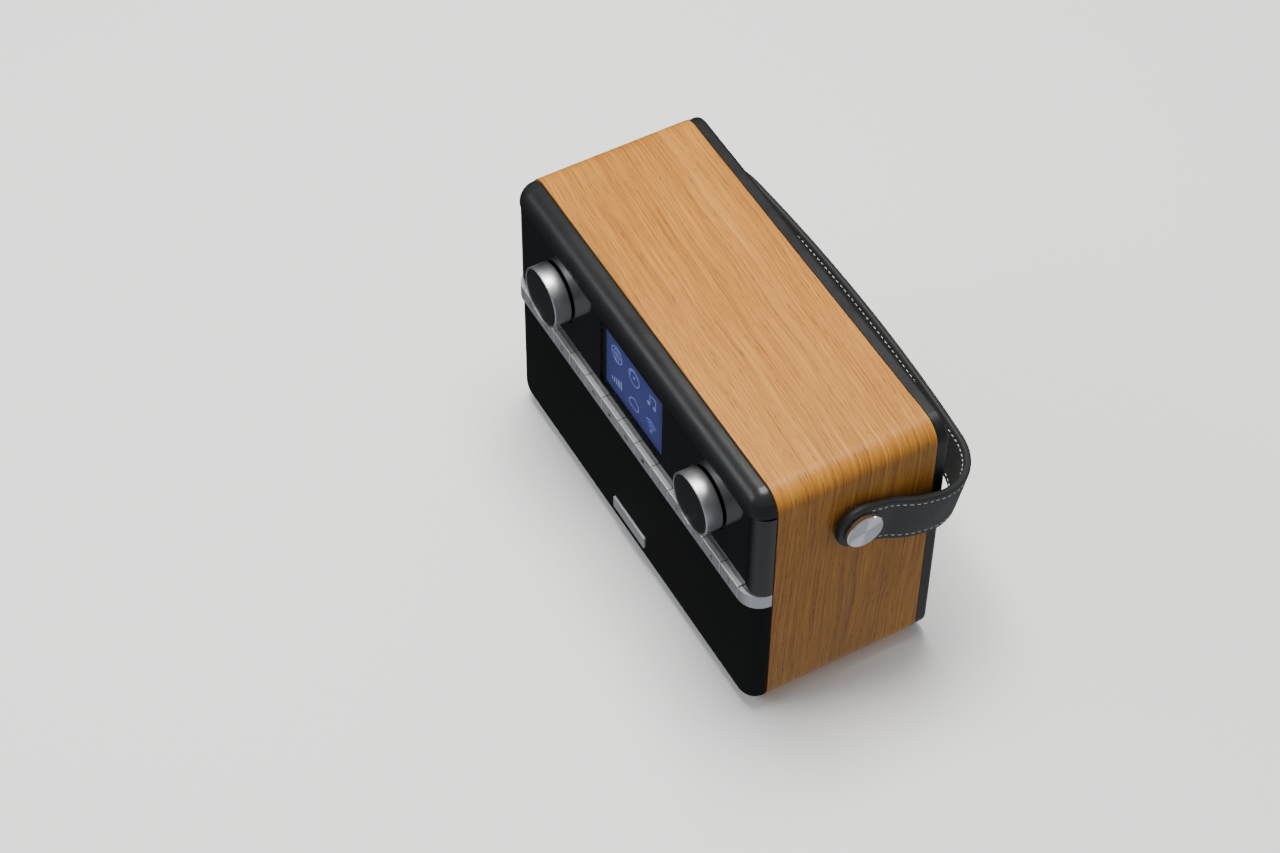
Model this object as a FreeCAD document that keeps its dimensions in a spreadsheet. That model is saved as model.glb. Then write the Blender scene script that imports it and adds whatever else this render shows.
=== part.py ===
import FreeCAD, Part
import math
import os
import re
import Sketcher
from FreeCAD import Rotation, Vector

# A tabletop radio: a wooden sleeve closed by a moulded front and rear, with a leather carrying
# handle that turns on two side studs.  Millimetres.  The origin is on the table, at the middle of
# the radio's overall width and depth; the front faces -Y and +Z is up.
#
# "Reach" is a distance ahead of the wood's front face, and "behind" one past its rear face.

SIZES = {
    # wooden sleeve
    "cabinet_width": 236.0,
    "sleeve_height": 158.5,
    "sleeve_depth": 85.0,
    "sleeve_wall": 8.0,
    "corner_radius": 11.5,
    "foot_height": 3.0,
    "foot_radius": 7.0,
    "foot_margin_x": 26.0,
    "foot_margin_y": 15.0,
    # clearances
    "seam": 1.0,
    "slip": 0.3,
    "running_fit": 0.06,
    # front mouldings
    "moulding_inset": 5.0,
    "baffle_reach": 7.0,
    "baffle_plate": 4.0,
    "spigot_depth": 12.0,
    "spigot_wall": 2.7,
    "hood_reach": 12.2,
    "hood_drop": 12.0,
    "hood_round": 10.8,
    "hood_inset": 0.4,
    "panel_reach": 10.6,
    "panel_round": 9.0,
    "panel_inset": -0.3,
    "grille_reach": 10.4,
    "grille_round": 9.2,
    "grille_inset": -0.2,
    "cloth": 1.1,
    "badge_width": 31.6,
    "badge_height": 8.0,
    "badge_reach": 11.4,
    "badge_rise": 13.0,
    # display
    "view_width": 54.6,
    "view_height": 37.8,
    "view_drop": 40.1,
    "window_border": 3.0,
    "window_thickness": 1.6,
    "tray_side": 4.0,
    "tray_end": 4.4,
    "tray_gap": 0.4,
    "collar": 1.8,
    # keys
    "key_margin": 11.07,
    "key_height": 9.2,
    "key_drop": 69.1,
    "key_gap": 0.5,
    "key_reach": 13.0,
    "key_cap": 3.4,
    "key_travel": 1.2,
    "stem_width": 10.0,
    "stem_height": 5.0,
    "guide_thickness": 1.2,
    # knobs
    "knob_margin": 44.6,
    "knob_drop": 39.2,
    "knob_radius": 15.9,
    "knob_reach": 20.45,
    "knob_rim": 1.0,
    "knob_gap": 1.6,
    "knob_wall": 1.9,
    "knob_web": 1.6,
    "knob_recess": 1.45,
    "face_thickness": 0.9,
    "spindle_radius": 3.0,
    "well_gap": 1.2,
    "well_depth": 1.0,
    "bush_wall": 1.6,
    # loudspeakers
    "driver_margin": 56.0,
    "driver_radius": 33.0,
    "driver_screw_inset": 1.7,
    # electronics
    "board_setback": 6.4,
    "board_thickness": 1.6,
    "board_gap": 2.1,
    # rear cover
    "rear_seam": 0.6,
    "rear_reach": 7.2,
    "rear_round": 2.4,
    "rear_inset": 0.4,
    "sink_depth": 1.8,
    "drive_depth": 0.7,
    "drive_half": 1.6,
    "vent_width": 2.5,
    "vent_pitch": 7.0,
    "vent_high": 50.0,
    "vent_low": 84.0,
    "vent_offset": 60.0,
    "rear_plate": 3.0,
    "rear_spigot": 10.0,
    "post_radius": 3.9,
    "post_gap": 0.1,
    "screw_radius": 1.4,
    "screw_head": 2.8,
    # battery bay
    "door_width": 90.0,
    "door_height": 54.0,
    "door_thickness": 2.0,
    "door_offset": -30.0,
    "door_rise": 14.0,
    "bay_depth": 22.0,
    "bay_wall": 2.0,
    "door_pin": 0.7,
    "pin_reach": 1.6,
    "pack_gap": 1.0,
    "pack_depth": 19.0,
    "grip_half": 7.0,
    "grip_low": 5.0,
    "grip_high": 2.4,
    # sockets
    "socket_rise": 21.0,
    "socket_pitch": 15.0,
    "socket_margin": 26.0,
    "socket_length": 8.0,
    "recess_depth": 1.2,
    "recess_half": 9.0,
    "dc_radius": 5.5,
    "dc_bore": 2.9,
    "dc_pin": 1.0,
    "jack_radius": 4.0,
    "jack_bore": 1.8,
    # aerial
    "aerial_drop": 21.5,
    "aerial_margin": 30.0,
    "aerial_radius": 3.0,
    "aerial_wall": 0.44,
    "aerial_length": 150.0,
    "knuckle_width": 3.2,
    "cheek_thickness": 1.7,
    "cheek_gap": 0.1,
    "flange_radius": 3.0,
    "bush_collar": 5.0,
    "disc_radius": 6.5,
    "disc_rise": 0.8,
    "stalk_radius": 1.5,
    "tongue_half": 1.8,
    "tongue_start": 5.0,
    "tip_length": 6.0,
    # carrying handle
    "stud_drop": 39.0,
    "stud_radius": 4.0,
    "stud_shank": 3.0,
    "spacer_thickness": 1.6,
    "cap_radius": 9.8,
    "cap_thickness": 3.0,
    "strap_width": 26.0,
    "strap_thickness": 4.0,
    "strap_clearance": 12.0,
    "strap_drop": 15.0,
    "strap_share": 0.7,
    "strap_corner": 34.0,
    "strap_slant": 6.0,
    "bow_angle": 18.0,
    "bow_near": 30.0,
    "bow_far": 42.0,
}
KEYS = 13

doc = FreeCAD.newDocument("TabletopRadio")
sheet = doc.addObject("Spreadsheet::Sheet", "Sizes")
nodes = []


def store(name, value):
    """A named value in the sheet, on the next free row."""
    row = len(stored) + 1
    sheet.set(f"A{row}", name)
    sheet.set(f"B{row}", f"{value:.6f}")
    sheet.setAlias(f"B{row}", name)
    stored.add(name)


stored = set()
for size_name, size in SIZES.items():
    store(size_name, size)


def linked(expression):
    """The same expression with every size named as the sheet's own cell."""
    return re.sub(r"[a-z_]+", lambda word: f"Sizes.{word[0]}" if word[0] in stored else word[0],
                  str(expression))


def number(expression):
    """The value of an expression at the present sizes."""
    value = sheet.evalExpression(linked(expression))
    return float(getattr(value, "Value", value))


def strap_pieces():
    """The handle's centre line from the stud to the middle of the back, and where it starts.

    Each piece is (length or radius, turn in degrees); a turn of 0 is a straight run.
    """
    side = number("cabinet_width / 2 + spacer_thickness + slip + strap_thickness / 2")
    tail = number("strap_width / 2")
    bow = number("bow_angle")
    shallow = number("strap_slant")
    bows = [(number("bow_near"), -bow), (number("bow_far"), bow)]
    corner = number("strap_corner")
    across = side + sum(size for size, turn in bows) * (1 - math.cos(math.radians(bow)))
    across -= corner * (1 - math.cos(math.radians(90 - shallow)))
    curved = sum(size for size, turn in bows) * math.sin(math.radians(bow))
    curved += corner * math.sin(math.radians(90 - shallow))
    back = across / math.sin(math.radians(shallow))
    curved += back * (1 - math.cos(math.radians(shallow)))
    straight = handle_reach - number("strap_thickness / 2") - curved
    share = number("strap_share")
    runs = [(tail + straight * share, 0.0)] + bows
    runs += [(straight * (1 - share), 0.0), (corner, 90.0 - shallow), (back, shallow)]
    return Vector(side, -tail, 0), runs


# the handle's outer face stands clear of the cabinet's rear corner by its thickness and clearance
store("rear_corner", math.hypot(SIZES["sleeve_depth"] / 2 + SIZES["rear_reach"], SIZES["stud_drop"]))
doc.recompute()
handle_reach = number("rear_corner + strap_thickness + strap_clearance")
handle_back = handle_reach * math.cos(math.radians(SIZES["strap_drop"]))
handle_back += SIZES["strap_width"] / 2 * math.sin(math.radians(SIZES["strap_drop"]))
store("middle", (SIZES["knob_reach"] + SIZES["sleeve_depth"] / 2 - handle_back) / 2)
store("key_pitch", (SIZES["cabinet_width"] - 2 * SIZES["key_margin"]) / KEYS)
doc.recompute()

TOP = "(foot_height + sleeve_height)"
SIDE = "(cabinet_width / 2)"
STUD_Z = f"({TOP} - stud_drop)"
KEY_LOW = f"({TOP} - key_drop - key_height)"
KEY_HIGH = f"({TOP} - key_drop)"
PANEL_LOW = f"({KEY_HIGH} + key_gap)"
PANEL_HIGH = f"({TOP} - hood_drop - slip)"
GRILLE_HIGH = f"({KEY_LOW} - key_gap)"
VIEW_Z = f"({TOP} - view_drop)"
KNOB_X = f"({SIDE} - knob_margin)"
KNOB_Z = f"({TOP} - knob_drop)"
KNOB_REAR = "(panel_reach - well_depth + knob_gap)"
DRIVER_X = f"({SIDE} - driver_margin)"
DRIVER_Z = f"((foot_height + {GRILLE_HIGH}) / 2)"
LINING = "(sleeve_wall + slip + spigot_wall)"
POST_MARGIN = f"({LINING} + post_radius + post_gap)"


def ahead(reach):
    """The y of a plane at this distance ahead of the wood's front face."""
    return f"(middle - sleeve_depth / 2 - ({reach}))"


def behind(distance):
    """The y of a plane at this distance past the wood's rear face."""
    return f"(middle + sleeve_depth / 2 + ({distance}))"


def bind(item, path, expression):
    item.setExpression(path, linked(expression))


def node(name, item):
    """Names a finished sub-part and puts it on the list of what is written."""
    item.Label = name
    nodes.append(item)
    return item


# ------------------------------------------------------------------ primitives and booleans

def box(name, x, y, z):
    """A block between pairs of limits."""
    block = doc.addObject("Part::Box", name)
    for length, axis, limits in (("Length", "x", x), ("Width", "y", y), ("Height", "z", z)):
        low, high = limits
        bind(block, length, f"({high}) - ({low})")
        bind(block, f"Placement.Base.{axis}", low)
    return block


ALONG = {
    "x": Rotation(Vector(0, 1, 0), 90),
    "y": Rotation(Vector(1, 0, 0), -90),
    "z": Rotation(),
}


def rod(name, axis, radius, start, end, across):
    """A cylinder along an axis from start to end; `across` places it on the other two axes."""
    item = doc.addObject("Part::Cylinder", name)
    bind(item, "Radius", radius)
    bind(item, "Height", f"({end}) - ({start})")
    item.Placement.Rotation = ALONG[axis]
    others = [letter for letter in "xyz" if letter != axis]
    for letter, place in zip([axis] + others, [start] + list(across)):
        bind(item, f"Placement.Base.{letter}", place)
    return item


def joined(kind, name, shapes):
    item = doc.addObject(kind, name)
    item.Shapes = shapes
    return item


def fuse(name, *shapes):
    return joined("Part::MultiFuse", name, list(shapes))


def common(name, *shapes):
    return joined("Part::MultiCommon", name, list(shapes))


def cut(name, base, *tools):
    item = doc.addObject("Part::Cut", name)
    item.Base = base
    item.Tool = tools[0] if len(tools) == 1 else fuse(name + "_tools", *tools)
    return item


def group(name, *shapes):
    item = doc.addObject("Part::Compound", name)
    item.Links = list(shapes)
    return item


# ------------------------------------------------------------------ sketched features

def new_body(name):
    return doc.addObject("PartDesign::Body", name)


def sketch(body, role, offset="0"):
    item = body.newObject("Sketcher::SketchObject", body.Name + "_sketch")
    origin_plane = next(plane for plane in body.Origin.OriginFeatures if plane.Role == role)
    item.AttachmentSupport = [(origin_plane, "")]
    item.MapMode = "FlatFace"
    bind(item, "AttachmentOffset.Base.z", offset)
    return item


def polygon(item, corners):
    """Closes straight edges through the corners, each held by its own pair of dimensions."""
    places = [Vector(number(x), number(y), 0) for x, y in corners]
    first = item.GeometryCount
    for index, place in enumerate(places):
        item.addGeometry(Part.LineSegment(place, places[(index + 1) % len(places)]), False)
    for index, corner in enumerate(corners):
        before = first + (index - 1) % len(places)
        item.addConstraint(Sketcher.Constraint("Coincident", first + index, 1, before, 2))
        for kind, expression in zip(("DistanceX", "DistanceY"), corner):
            held = item.addConstraint(
                Sketcher.Constraint(kind, -1, 1, first + index, 1, number(expression)))
            bind(item, f"Constraints[{held}]", expression)


def rectangle(item, x, y):
    polygon(item, [(x[0], y[0]), (x[1], y[0]), (x[1], y[1]), (x[0], y[1])])


def pad(body, profile, length, reverse=False):
    item = body.newObject("PartDesign::Pad", body.Name + "_pad")
    item.Profile = profile
    item.Reversed = reverse
    bind(item, "Length", length)
    doc.recompute()
    return item


def fillet(body, radius, chosen):
    """Rounds the edges of the body's last feature for which `chosen` is true."""
    feature = body.Tip
    names = [f"Edge{index + 1}" for index, edge in enumerate(feature.Shape.Edges) if chosen(edge)]
    item = body.newObject("PartDesign::Fillet", body.Name + "_fillet")
    item.Base = (feature, names)
    bind(item, "Radius", radius)
    doc.recompute()
    return item


def runs_along_y(edge):
    limits = edge.BoundBox
    return limits.XLength < 1e-6 and limits.ZLength < 1e-6


def lies_at_y(place):
    return lambda edge: abs(edge.BoundBox.YMin - place) < 1e-6 and edge.BoundBox.YLength < 1e-6


def outline_block(name, inset, low, high, front_round=None, rear_round=None):
    """A block on the cabinet's outline drawn in by `inset`, between two reaches."""
    body = new_body(name)
    profile = sketch(body, "XZ_Plane", f"-{ahead(low)}")
    rectangle(profile, (f"-{SIDE} + ({inset})", f"{SIDE} - ({inset})"),
              (f"foot_height + ({inset})", f"{TOP} - ({inset})"))
    pad(body, profile, f"({high}) - ({low})")
    if number(f"corner_radius - ({inset})") > 0.5:
        fillet(body, f"corner_radius - ({inset})", runs_along_y)
    if front_round:
        fillet(body, front_round, lies_at_y(number(ahead(high))))
    if rear_round:
        fillet(body, rear_round, lies_at_y(number(ahead(low))))
    return body


OUTWARD = {
    "front": Rotation(),
    "right": Rotation(Vector(0, 0, 1), -90),
    "left": Rotation(Vector(0, 0, 1), 90),
}


def turned(name, profile, facing, x="0", y="0", z="0"):
    """A piece turned about its own Y axis from (radius, height) points, then put in place.

    A piece facing left or right has its Y axis pointing outward on that side.
    """
    body = new_body(name)
    outline = sketch(body, "XY_Plane")
    polygon(outline, profile)
    spin = body.newObject("PartDesign::Revolution", name + "_spin")
    spin.Profile = outline
    spin.ReferenceAxis = (outline, ["V_Axis"])
    spin.Angle = 360.0
    body.Placement.Rotation = OUTWARD[facing]
    for letter, place in zip("xyz", (x, y, z)):
        bind(body, f"Placement.Base.{letter}", place)
    doc.recompute()
    return body


def both_sides(expression):
    """An x place on the right and its mirror on the left."""
    return (("right", f"({expression})"), ("left", f"-({expression})"))


# ------------------------------------------------------------------ cabinet

def make_sleeve():
    outer = outline_block("sleeve_outer", "0", "-sleeve_depth", "0")
    inner = outline_block("sleeve_inner", "sleeve_wall", "-sleeve_depth - 1", "1")
    studs = rod("sleeve_stud_holes", "x", "stud_shank + slip / 2", f"-{SIDE} - 1", f"{SIDE} + 1",
                ("middle", STUD_Z))
    node("cabinet_sleeve", cut("cabinet_sleeve", outer, inner, studs))


def make_feet():
    feet = []
    for side, x in both_sides(f"{SIDE} - foot_margin_x"):
        for end, y in (("front", ahead("-foot_margin_y")), ("rear", behind("-foot_margin_y"))):
            feet.append(rod(f"foot_{end}_{side}", "z", "foot_radius", "0", "foot_height", (x, y)))
    node("feet", group("feet", *feet))


def post_places():
    """The middles of the four posts that the rear cover is screwed to."""
    for side, x in both_sides(f"{SIDE} - {POST_MARGIN}"):
        for level, z in (("low", f"foot_height + {POST_MARGIN}"), ("high", f"{TOP} - {POST_MARGIN}")):
            yield f"{level}_{side}", x, z


def make_baffle():
    flange = outline_block("baffle_flange", "moulding_inset + slip", "0", "baffle_reach")
    spigot = outline_block("baffle_spigot", "sleeve_wall + slip", "-spigot_depth", "0")
    hollow = outline_block("baffle_hollow", LINING,
                           "-spigot_depth - 1", "baffle_reach - baffle_plate")
    shell = cut("baffle_shell", fuse("baffle_solid", flange, spigot), hollow)
    posts = []
    holes = []
    for place, x, z in post_places():
        posts.append(rod(f"post_{place}", "y", "post_radius", ahead("baffle_reach - baffle_plate"),
                         behind("-seam * 2 - rear_plate"), (x, z)))
        holes.append(rod(f"pilot_{place}", "y", "screw_radius + 0.1", behind("-18"), behind("0"),
                         (x, z)))
    for side, x in both_sides(DRIVER_X):
        holes.append(rod(f"driver_hole_{side}", "y", "driver_radius - 2.5", ahead("baffle_reach + 1"),
                         ahead("-spigot_depth - 1"), (x, DRIVER_Z)))
    for side, x in both_sides(KNOB_X):
        holes.append(rod(f"encoder_hole_{side}", "y", "spindle_radius + 2", ahead("baffle_reach + 1"),
                         ahead("0"), (x, KNOB_Z)))
    holes.append(box("display_hole", ("-view_width / 2 - tray_side - tray_gap",
                                      "view_width / 2 + tray_side + tray_gap"),
                     (ahead("baffle_reach + 1"), ahead("0")),
                     (f"{VIEW_Z} - view_height / 2 - tray_end - tray_gap",
                      f"{VIEW_Z} + view_height / 2 + tray_end + tray_gap")))
    holes.append(box("stem_slot", (f"-{SIDE} + key_margin + 2", f"{SIDE} - key_margin - 2"),
                     (ahead("baffle_reach + 1"), ahead("0")),
                     (f"{KEY_LOW} + 1.4", f"{KEY_HIGH} - 1.4")))
    body = fuse("baffle_with_posts", shell, *posts)
    node("front_baffle", cut("front_baffle", body, *holes))


def make_hood():
    blank = outline_block("hood_blank", "hood_inset", "seam", "hood_reach", "hood_round")
    band = box("hood_band", (f"-{SIDE} - 5", f"{SIDE} + 5"), (ahead("hood_reach + 1"), ahead("0")),
               (f"{TOP} - hood_drop", f"{TOP} + 5"))
    cavity = outline_block("hood_cavity", "moulding_inset", "0", "baffle_reach")
    node("front_hood", cut("front_hood", common("hood_shell", blank, band), cavity))


def make_panel():
    blank = outline_block("panel_blank", "panel_inset", "seam", "panel_reach", "panel_round")
    band = box("panel_band", (f"-{SIDE} - 5", f"{SIDE} + 5"), (ahead("panel_reach + 1"), ahead("0")),
               (PANEL_LOW, PANEL_HIGH))
    cavity = outline_block("panel_cavity", "moulding_inset", "0", "baffle_reach")
    holes = [cavity]
    for margin, low, high in (("window_border - 0.8", "0", "panel_reach + 1"),
                              ("window_border + 0.1", "panel_reach - window_thickness - 0.2",
                               "panel_reach + 1")):
        holes.append(box("window_cut", (f"-view_width / 2 - ({margin})", f"view_width / 2 + {margin}"),
                         (ahead(high), ahead(low)),
                         (f"{VIEW_Z} - view_height / 2 - ({margin})",
                          f"{VIEW_Z} + view_height / 2 + {margin}")))
    for side, x in both_sides(KNOB_X):
        holes.append(rod(f"knob_well_{side}", "y", "knob_radius + well_gap", ahead("panel_reach + 1"),
                         ahead("panel_reach - well_depth"), (x, KNOB_Z)))
        holes.append(rod(f"bush_hole_{side}", "y", "spindle_radius + 2", ahead("panel_reach + 1"),
                         ahead("0"), (x, KNOB_Z)))
    node("control_panel", cut("control_panel", common("panel_shell", blank, band), *holes))


def make_display():
    window = box("window", ("-view_width / 2 - window_border", "view_width / 2 + window_border"),
                 (ahead("panel_reach - 0.1"), ahead("panel_reach - 0.1 - window_thickness")),
                 (f"{VIEW_Z} - view_height / 2 - window_border",
                  f"{VIEW_Z} + view_height / 2 + window_border"))
    node("display_window", window)
    tray = box("lcd_tray", ("-view_width / 2 - tray_side", "view_width / 2 + tray_side"),
               (ahead("baffle_reach - 0.2"), ahead("2.4")),
               (f"{VIEW_Z} - view_height / 2 - tray_end", f"{VIEW_Z} + view_height / 2 + tray_end"))
    collar = box("lcd_collar", ("-view_width / 2 - collar", "view_width / 2 + collar"),
                 (ahead("panel_reach - window_thickness - 0.4"), ahead("baffle_reach - 0.2")),
                 (f"{VIEW_Z} - view_height / 2 - collar", f"{VIEW_Z} + view_height / 2 + collar"))
    opening = box("lcd_opening", ("-view_width / 2", "view_width / 2"),
                  (ahead("panel_reach"), ahead("0")),
                  (f"{VIEW_Z} - view_height / 2", f"{VIEW_Z} + view_height / 2"))
    node("lcd_frame", cut("lcd_frame", fuse("lcd_housing", tray, collar), opening))
    node("lcd_screen", box("lcd_screen", ("-view_width / 2 + 0.1", "view_width / 2 - 0.1"),
                           (ahead("panel_reach - window_thickness - 0.7"), ahead("3")),
                           (f"{VIEW_Z} - view_height / 2 + 0.1",
                            f"{VIEW_Z} + view_height / 2 - 0.1")))


def make_grille():
    reach = "grille_reach - cloth"
    inset = "grille_inset + cloth"
    rounding = "grille_round - cloth"
    below = box("grille_band", (f"-{SIDE} - 5", f"{SIDE} + 5"), (ahead("grille_reach + 1"), ahead("0")),
                ("0", GRILLE_HIGH))
    blank = outline_block("grille_blank", "grille_inset", "seam", "grille_reach", "grille_round")
    inner = outline_block("grille_inner", inset, "0", reach, rounding)
    node("speaker_grille", cut("speaker_grille", common("grille_shell", blank, below), inner))
    frame = outline_block("grille_frame_blank", inset, "seam", reach, rounding)
    cavity = outline_block("grille_cavity", "moulding_inset", "0", "baffle_reach")
    openings = [cavity]
    for side, x in both_sides(DRIVER_X):
        openings.append(rod(f"grille_opening_{side}", "y", "driver_radius + 0.5",
                            ahead("grille_reach"), ahead("0"), (x, DRIVER_Z)))
    node("grille_frame", cut("grille_frame", common("grille_frame_shell", frame, below), *openings))


def make_badge():
    body = new_body("badge")
    profile = sketch(body, "XZ_Plane", f"-{ahead('grille_reach')}")
    rectangle(profile, ("-badge_width / 2", "badge_width / 2"),
              ("foot_height + badge_rise", "foot_height + badge_rise + badge_height"))
    pad(body, profile, "badge_reach - grille_reach")
    fillet(body, "0.8", runs_along_y)
    fillet(body, "0.25", lies_at_y(number(ahead("badge_reach"))))
    node("badge_plate", body)


# ------------------------------------------------------------------ keys

def key_middle(index):
    return f"(key_pitch * {index - (KEYS - 1) / 2})"


def make_key(index):
    """One push key: a satin cap with a stem that runs back through the guide and baffle."""
    middle = key_middle(index)
    body = new_body(f"key_{index + 1:02d}")
    cap = sketch(body, "XZ_Plane", f"-{ahead('key_reach - key_cap')}")
    rectangle(cap, (f"{middle} - key_pitch / 2 + key_gap / 2", f"{middle} + key_pitch / 2 - key_gap / 2"),
              (KEY_LOW, KEY_HIGH))
    pad(body, cap, "key_cap")
    fillet(body, "0.5", lies_at_y(number(ahead("key_reach"))))
    stem = sketch(body, "XZ_Plane", f"-{ahead('key_reach - key_cap')}")
    rectangle(stem, (f"{middle} - stem_width / 2", f"{middle} + stem_width / 2"),
              (f"({KEY_LOW} + {KEY_HIGH} - stem_height) / 2", f"({KEY_LOW} + {KEY_HIGH} + stem_height) / 2"))
    pad(body, stem, "key_reach - key_cap + 1", reverse=True)
    node(body.Name, body)


def make_key_guide():
    plate = box("guide_plate", (f"-{SIDE} + key_margin - 4.5", f"{SIDE} - key_margin + 4.5"),
                (ahead("baffle_reach + guide_thickness"), ahead("baffle_reach")),
                (f"{KEY_LOW} + 0.2", f"{KEY_HIGH} - 0.2"))
    slots = []
    for index in range(KEYS):
        middle = key_middle(index)
        slots.append(box(f"guide_slot_{index + 1}",
                         (f"{middle} - stem_width / 2 - slip", f"{middle} + stem_width / 2 + slip"),
                         (ahead("key_reach"), ahead("0")),
                         (f"({KEY_LOW} + {KEY_HIGH} - stem_height) / 2 - slip",
                          f"({KEY_LOW} + {KEY_HIGH} + stem_height) / 2 + slip")))
    node("key_guide", cut("key_guide", plate, *slots))


def make_corner_trims():
    """Satin pieces that carry the row of keys round the front's upright corners."""
    radius = "corner_radius"
    thickness = "2.4"
    for side, sign in (("left", "-1"), ("right", "1")):
        middle_x = f"{sign} * ({SIDE} + 0.4 - {radius})"
        rise = f"({KEY_LOW} + 0.2)"
        levels = (rise, f"({KEY_HIGH} - 0.4)")
        outer = rod(f"trim_outer_{side}", "z", radius, levels[0], levels[1],
                    (middle_x, ahead(f"key_reach - 0.1 - {radius}")))
        inner = rod(f"trim_inner_{side}", "z", f"{radius} - {thickness}", f"{rise} - 1", f"{KEY_HIGH} + 1",
                    (middle_x, ahead(f"key_reach - 0.1 - {radius}")))
        start = f"{SIDE} - key_margin + key_gap / 2"
        limits = (start, f"{SIDE} + 5") if side == "right" else (f"-{SIDE} - 5", f"-({start})")
        quarter = box(f"trim_quarter_{side}", limits, (ahead("key_reach + 1"), ahead("seam")), levels)
        tab_limits = (start, f"{start} + 3") if side == "right" else (f"-({start} + 3)", f"-({start})")
        tab = box(f"trim_tab_{side}", tab_limits,
                  (ahead("key_reach - 1"), ahead("baffle_reach + guide_thickness")),
                  (f"{rise} + 1.4", f"{KEY_HIGH} - 1.8"))
        shell = common(f"trim_shell_{side}", cut(f"trim_ring_{side}", outer, inner), quarter)
        node(f"corner_trim_{side}", fuse(f"corner_trim_{side}", shell, tab))


# ------------------------------------------------------------------ knobs

def make_knob(name, x):
    """A turned metal knob with a dark face disc on the encoder's spindle."""
    ring = turned(f"{name}_knob", [
        ("knob_radius - knob_wall", f"-{KNOB_REAR}"),
        ("knob_radius - 0.4", f"-{KNOB_REAR}"),
        ("knob_radius", f"-{KNOB_REAR} - 0.4"),
        ("knob_radius", "-knob_reach + 0.4"),
        ("knob_radius - 0.4", "-knob_reach"),
        ("knob_radius - knob_rim + 0.2", "-knob_reach"),
        ("knob_radius - knob_rim", "-knob_reach + 0.2"),
        ("knob_radius - knob_rim", "-knob_reach + knob_recess"),
        ("0", "-knob_reach + knob_recess"),
        ("0", "-knob_reach + knob_recess + knob_web + 0.4"),
        ("spindle_radius + running_fit", "-knob_reach + knob_recess + knob_web + 0.4"),
        ("spindle_radius + running_fit", f"-{KNOB_REAR} - 0.8"),
        ("spindle_radius * 2", f"-{KNOB_REAR} - 0.8"),
        ("spindle_radius * 2", "-knob_reach + knob_recess + knob_web"),
        ("knob_radius - knob_wall", "-knob_reach + knob_recess + knob_web"),
    ], "front", x=x, y=ahead("0"), z=KNOB_Z)
    node(f"{name}_knob", ring)
    edge = "knob_radius - knob_rim - 0.05"
    face = turned(f"{name}_face", [
        ("0", "-knob_reach + knob_recess - face_thickness"),
        (f"{edge} - 0.4", "-knob_reach + knob_recess - face_thickness"),
        (edge, "-knob_reach + knob_recess - face_thickness + 0.4"),
        (edge, "-knob_reach + knob_recess"),
        ("0", "-knob_reach + knob_recess"),
    ], "front", x=x, y=ahead("0"), z=KNOB_Z)
    node(f"{name}_knob_face", face)
    spindle = rod(f"{name}_spindle", "y", "spindle_radius",
                  ahead("knob_reach - knob_recess - knob_web - 0.5"), ahead("-1"), (x, KNOB_Z))
    node(f"{name}_spindle", spindle)


def make_encoders():
    encoders = []
    for side, x in both_sides(KNOB_X):
        bore = "spindle_radius + running_fit"
        bush = rod(f"encoder_bush_{side}", "y", "spindle_radius + bush_wall", ahead("panel_reach - 1.2"),
                   ahead("0"), (x, KNOB_Z))
        case = box(f"encoder_case_{side}", (f"{x} - 6", f"{x} + 6"), (ahead("0"), ahead("-board_setback")),
                   (f"{KNOB_Z} - 6", f"{KNOB_Z} + 6"))
        hole = rod(f"encoder_bore_{side}", "y", bore, ahead("panel_reach"), ahead("-2"), (x, KNOB_Z))
        encoders.append(cut(f"encoder_{side}", fuse(f"encoder_solid_{side}", bush, case), hole))
    node("encoders", group("encoders", *encoders))


# ------------------------------------------------------------------ electronics

def make_boards():
    levels = (f"{KEY_LOW} + board_gap", f"{TOP} - {LINING} - board_gap / 2")
    margin = f"{POST_MARGIN} + post_radius + board_gap"
    board = box("board", (f"-{SIDE} + {margin}", f"{SIDE} - ({margin})"),
                (ahead("-board_setback"), ahead("-board_setback - board_thickness")), levels)
    node("main_board", board)
    module = box("module", ("-20", "22"),
                 (ahead("-board_setback - board_thickness"), ahead("-board_setback - board_thickness - 3")),
                 (f"{VIEW_Z} - 14", f"{VIEW_Z} + 14"))
    node("network_module", module)
    switches = []
    for index in range(KEYS):
        middle = key_middle(index)
        case = box(f"switch_case_{index + 1}", (f"{middle} - 3", f"{middle} + 3"),
                   (ahead("-3.4"), ahead("-board_setback")),
                   (f"({KEY_LOW} + {KEY_HIGH}) / 2 - 2.5", f"({KEY_LOW} + {KEY_HIGH}) / 2 + 3.5"))
        button = rod(f"switch_button_{index + 1}", "y", "1.6", ahead("-1.1 - key_travel"), ahead("-3.6"),
                     (middle, f"({KEY_LOW} + {KEY_HIGH}) / 2"))
        switches.append(fuse(f"switch_{index + 1}", case, button))
    node("key_switches", group("key_switches", *switches))


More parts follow.
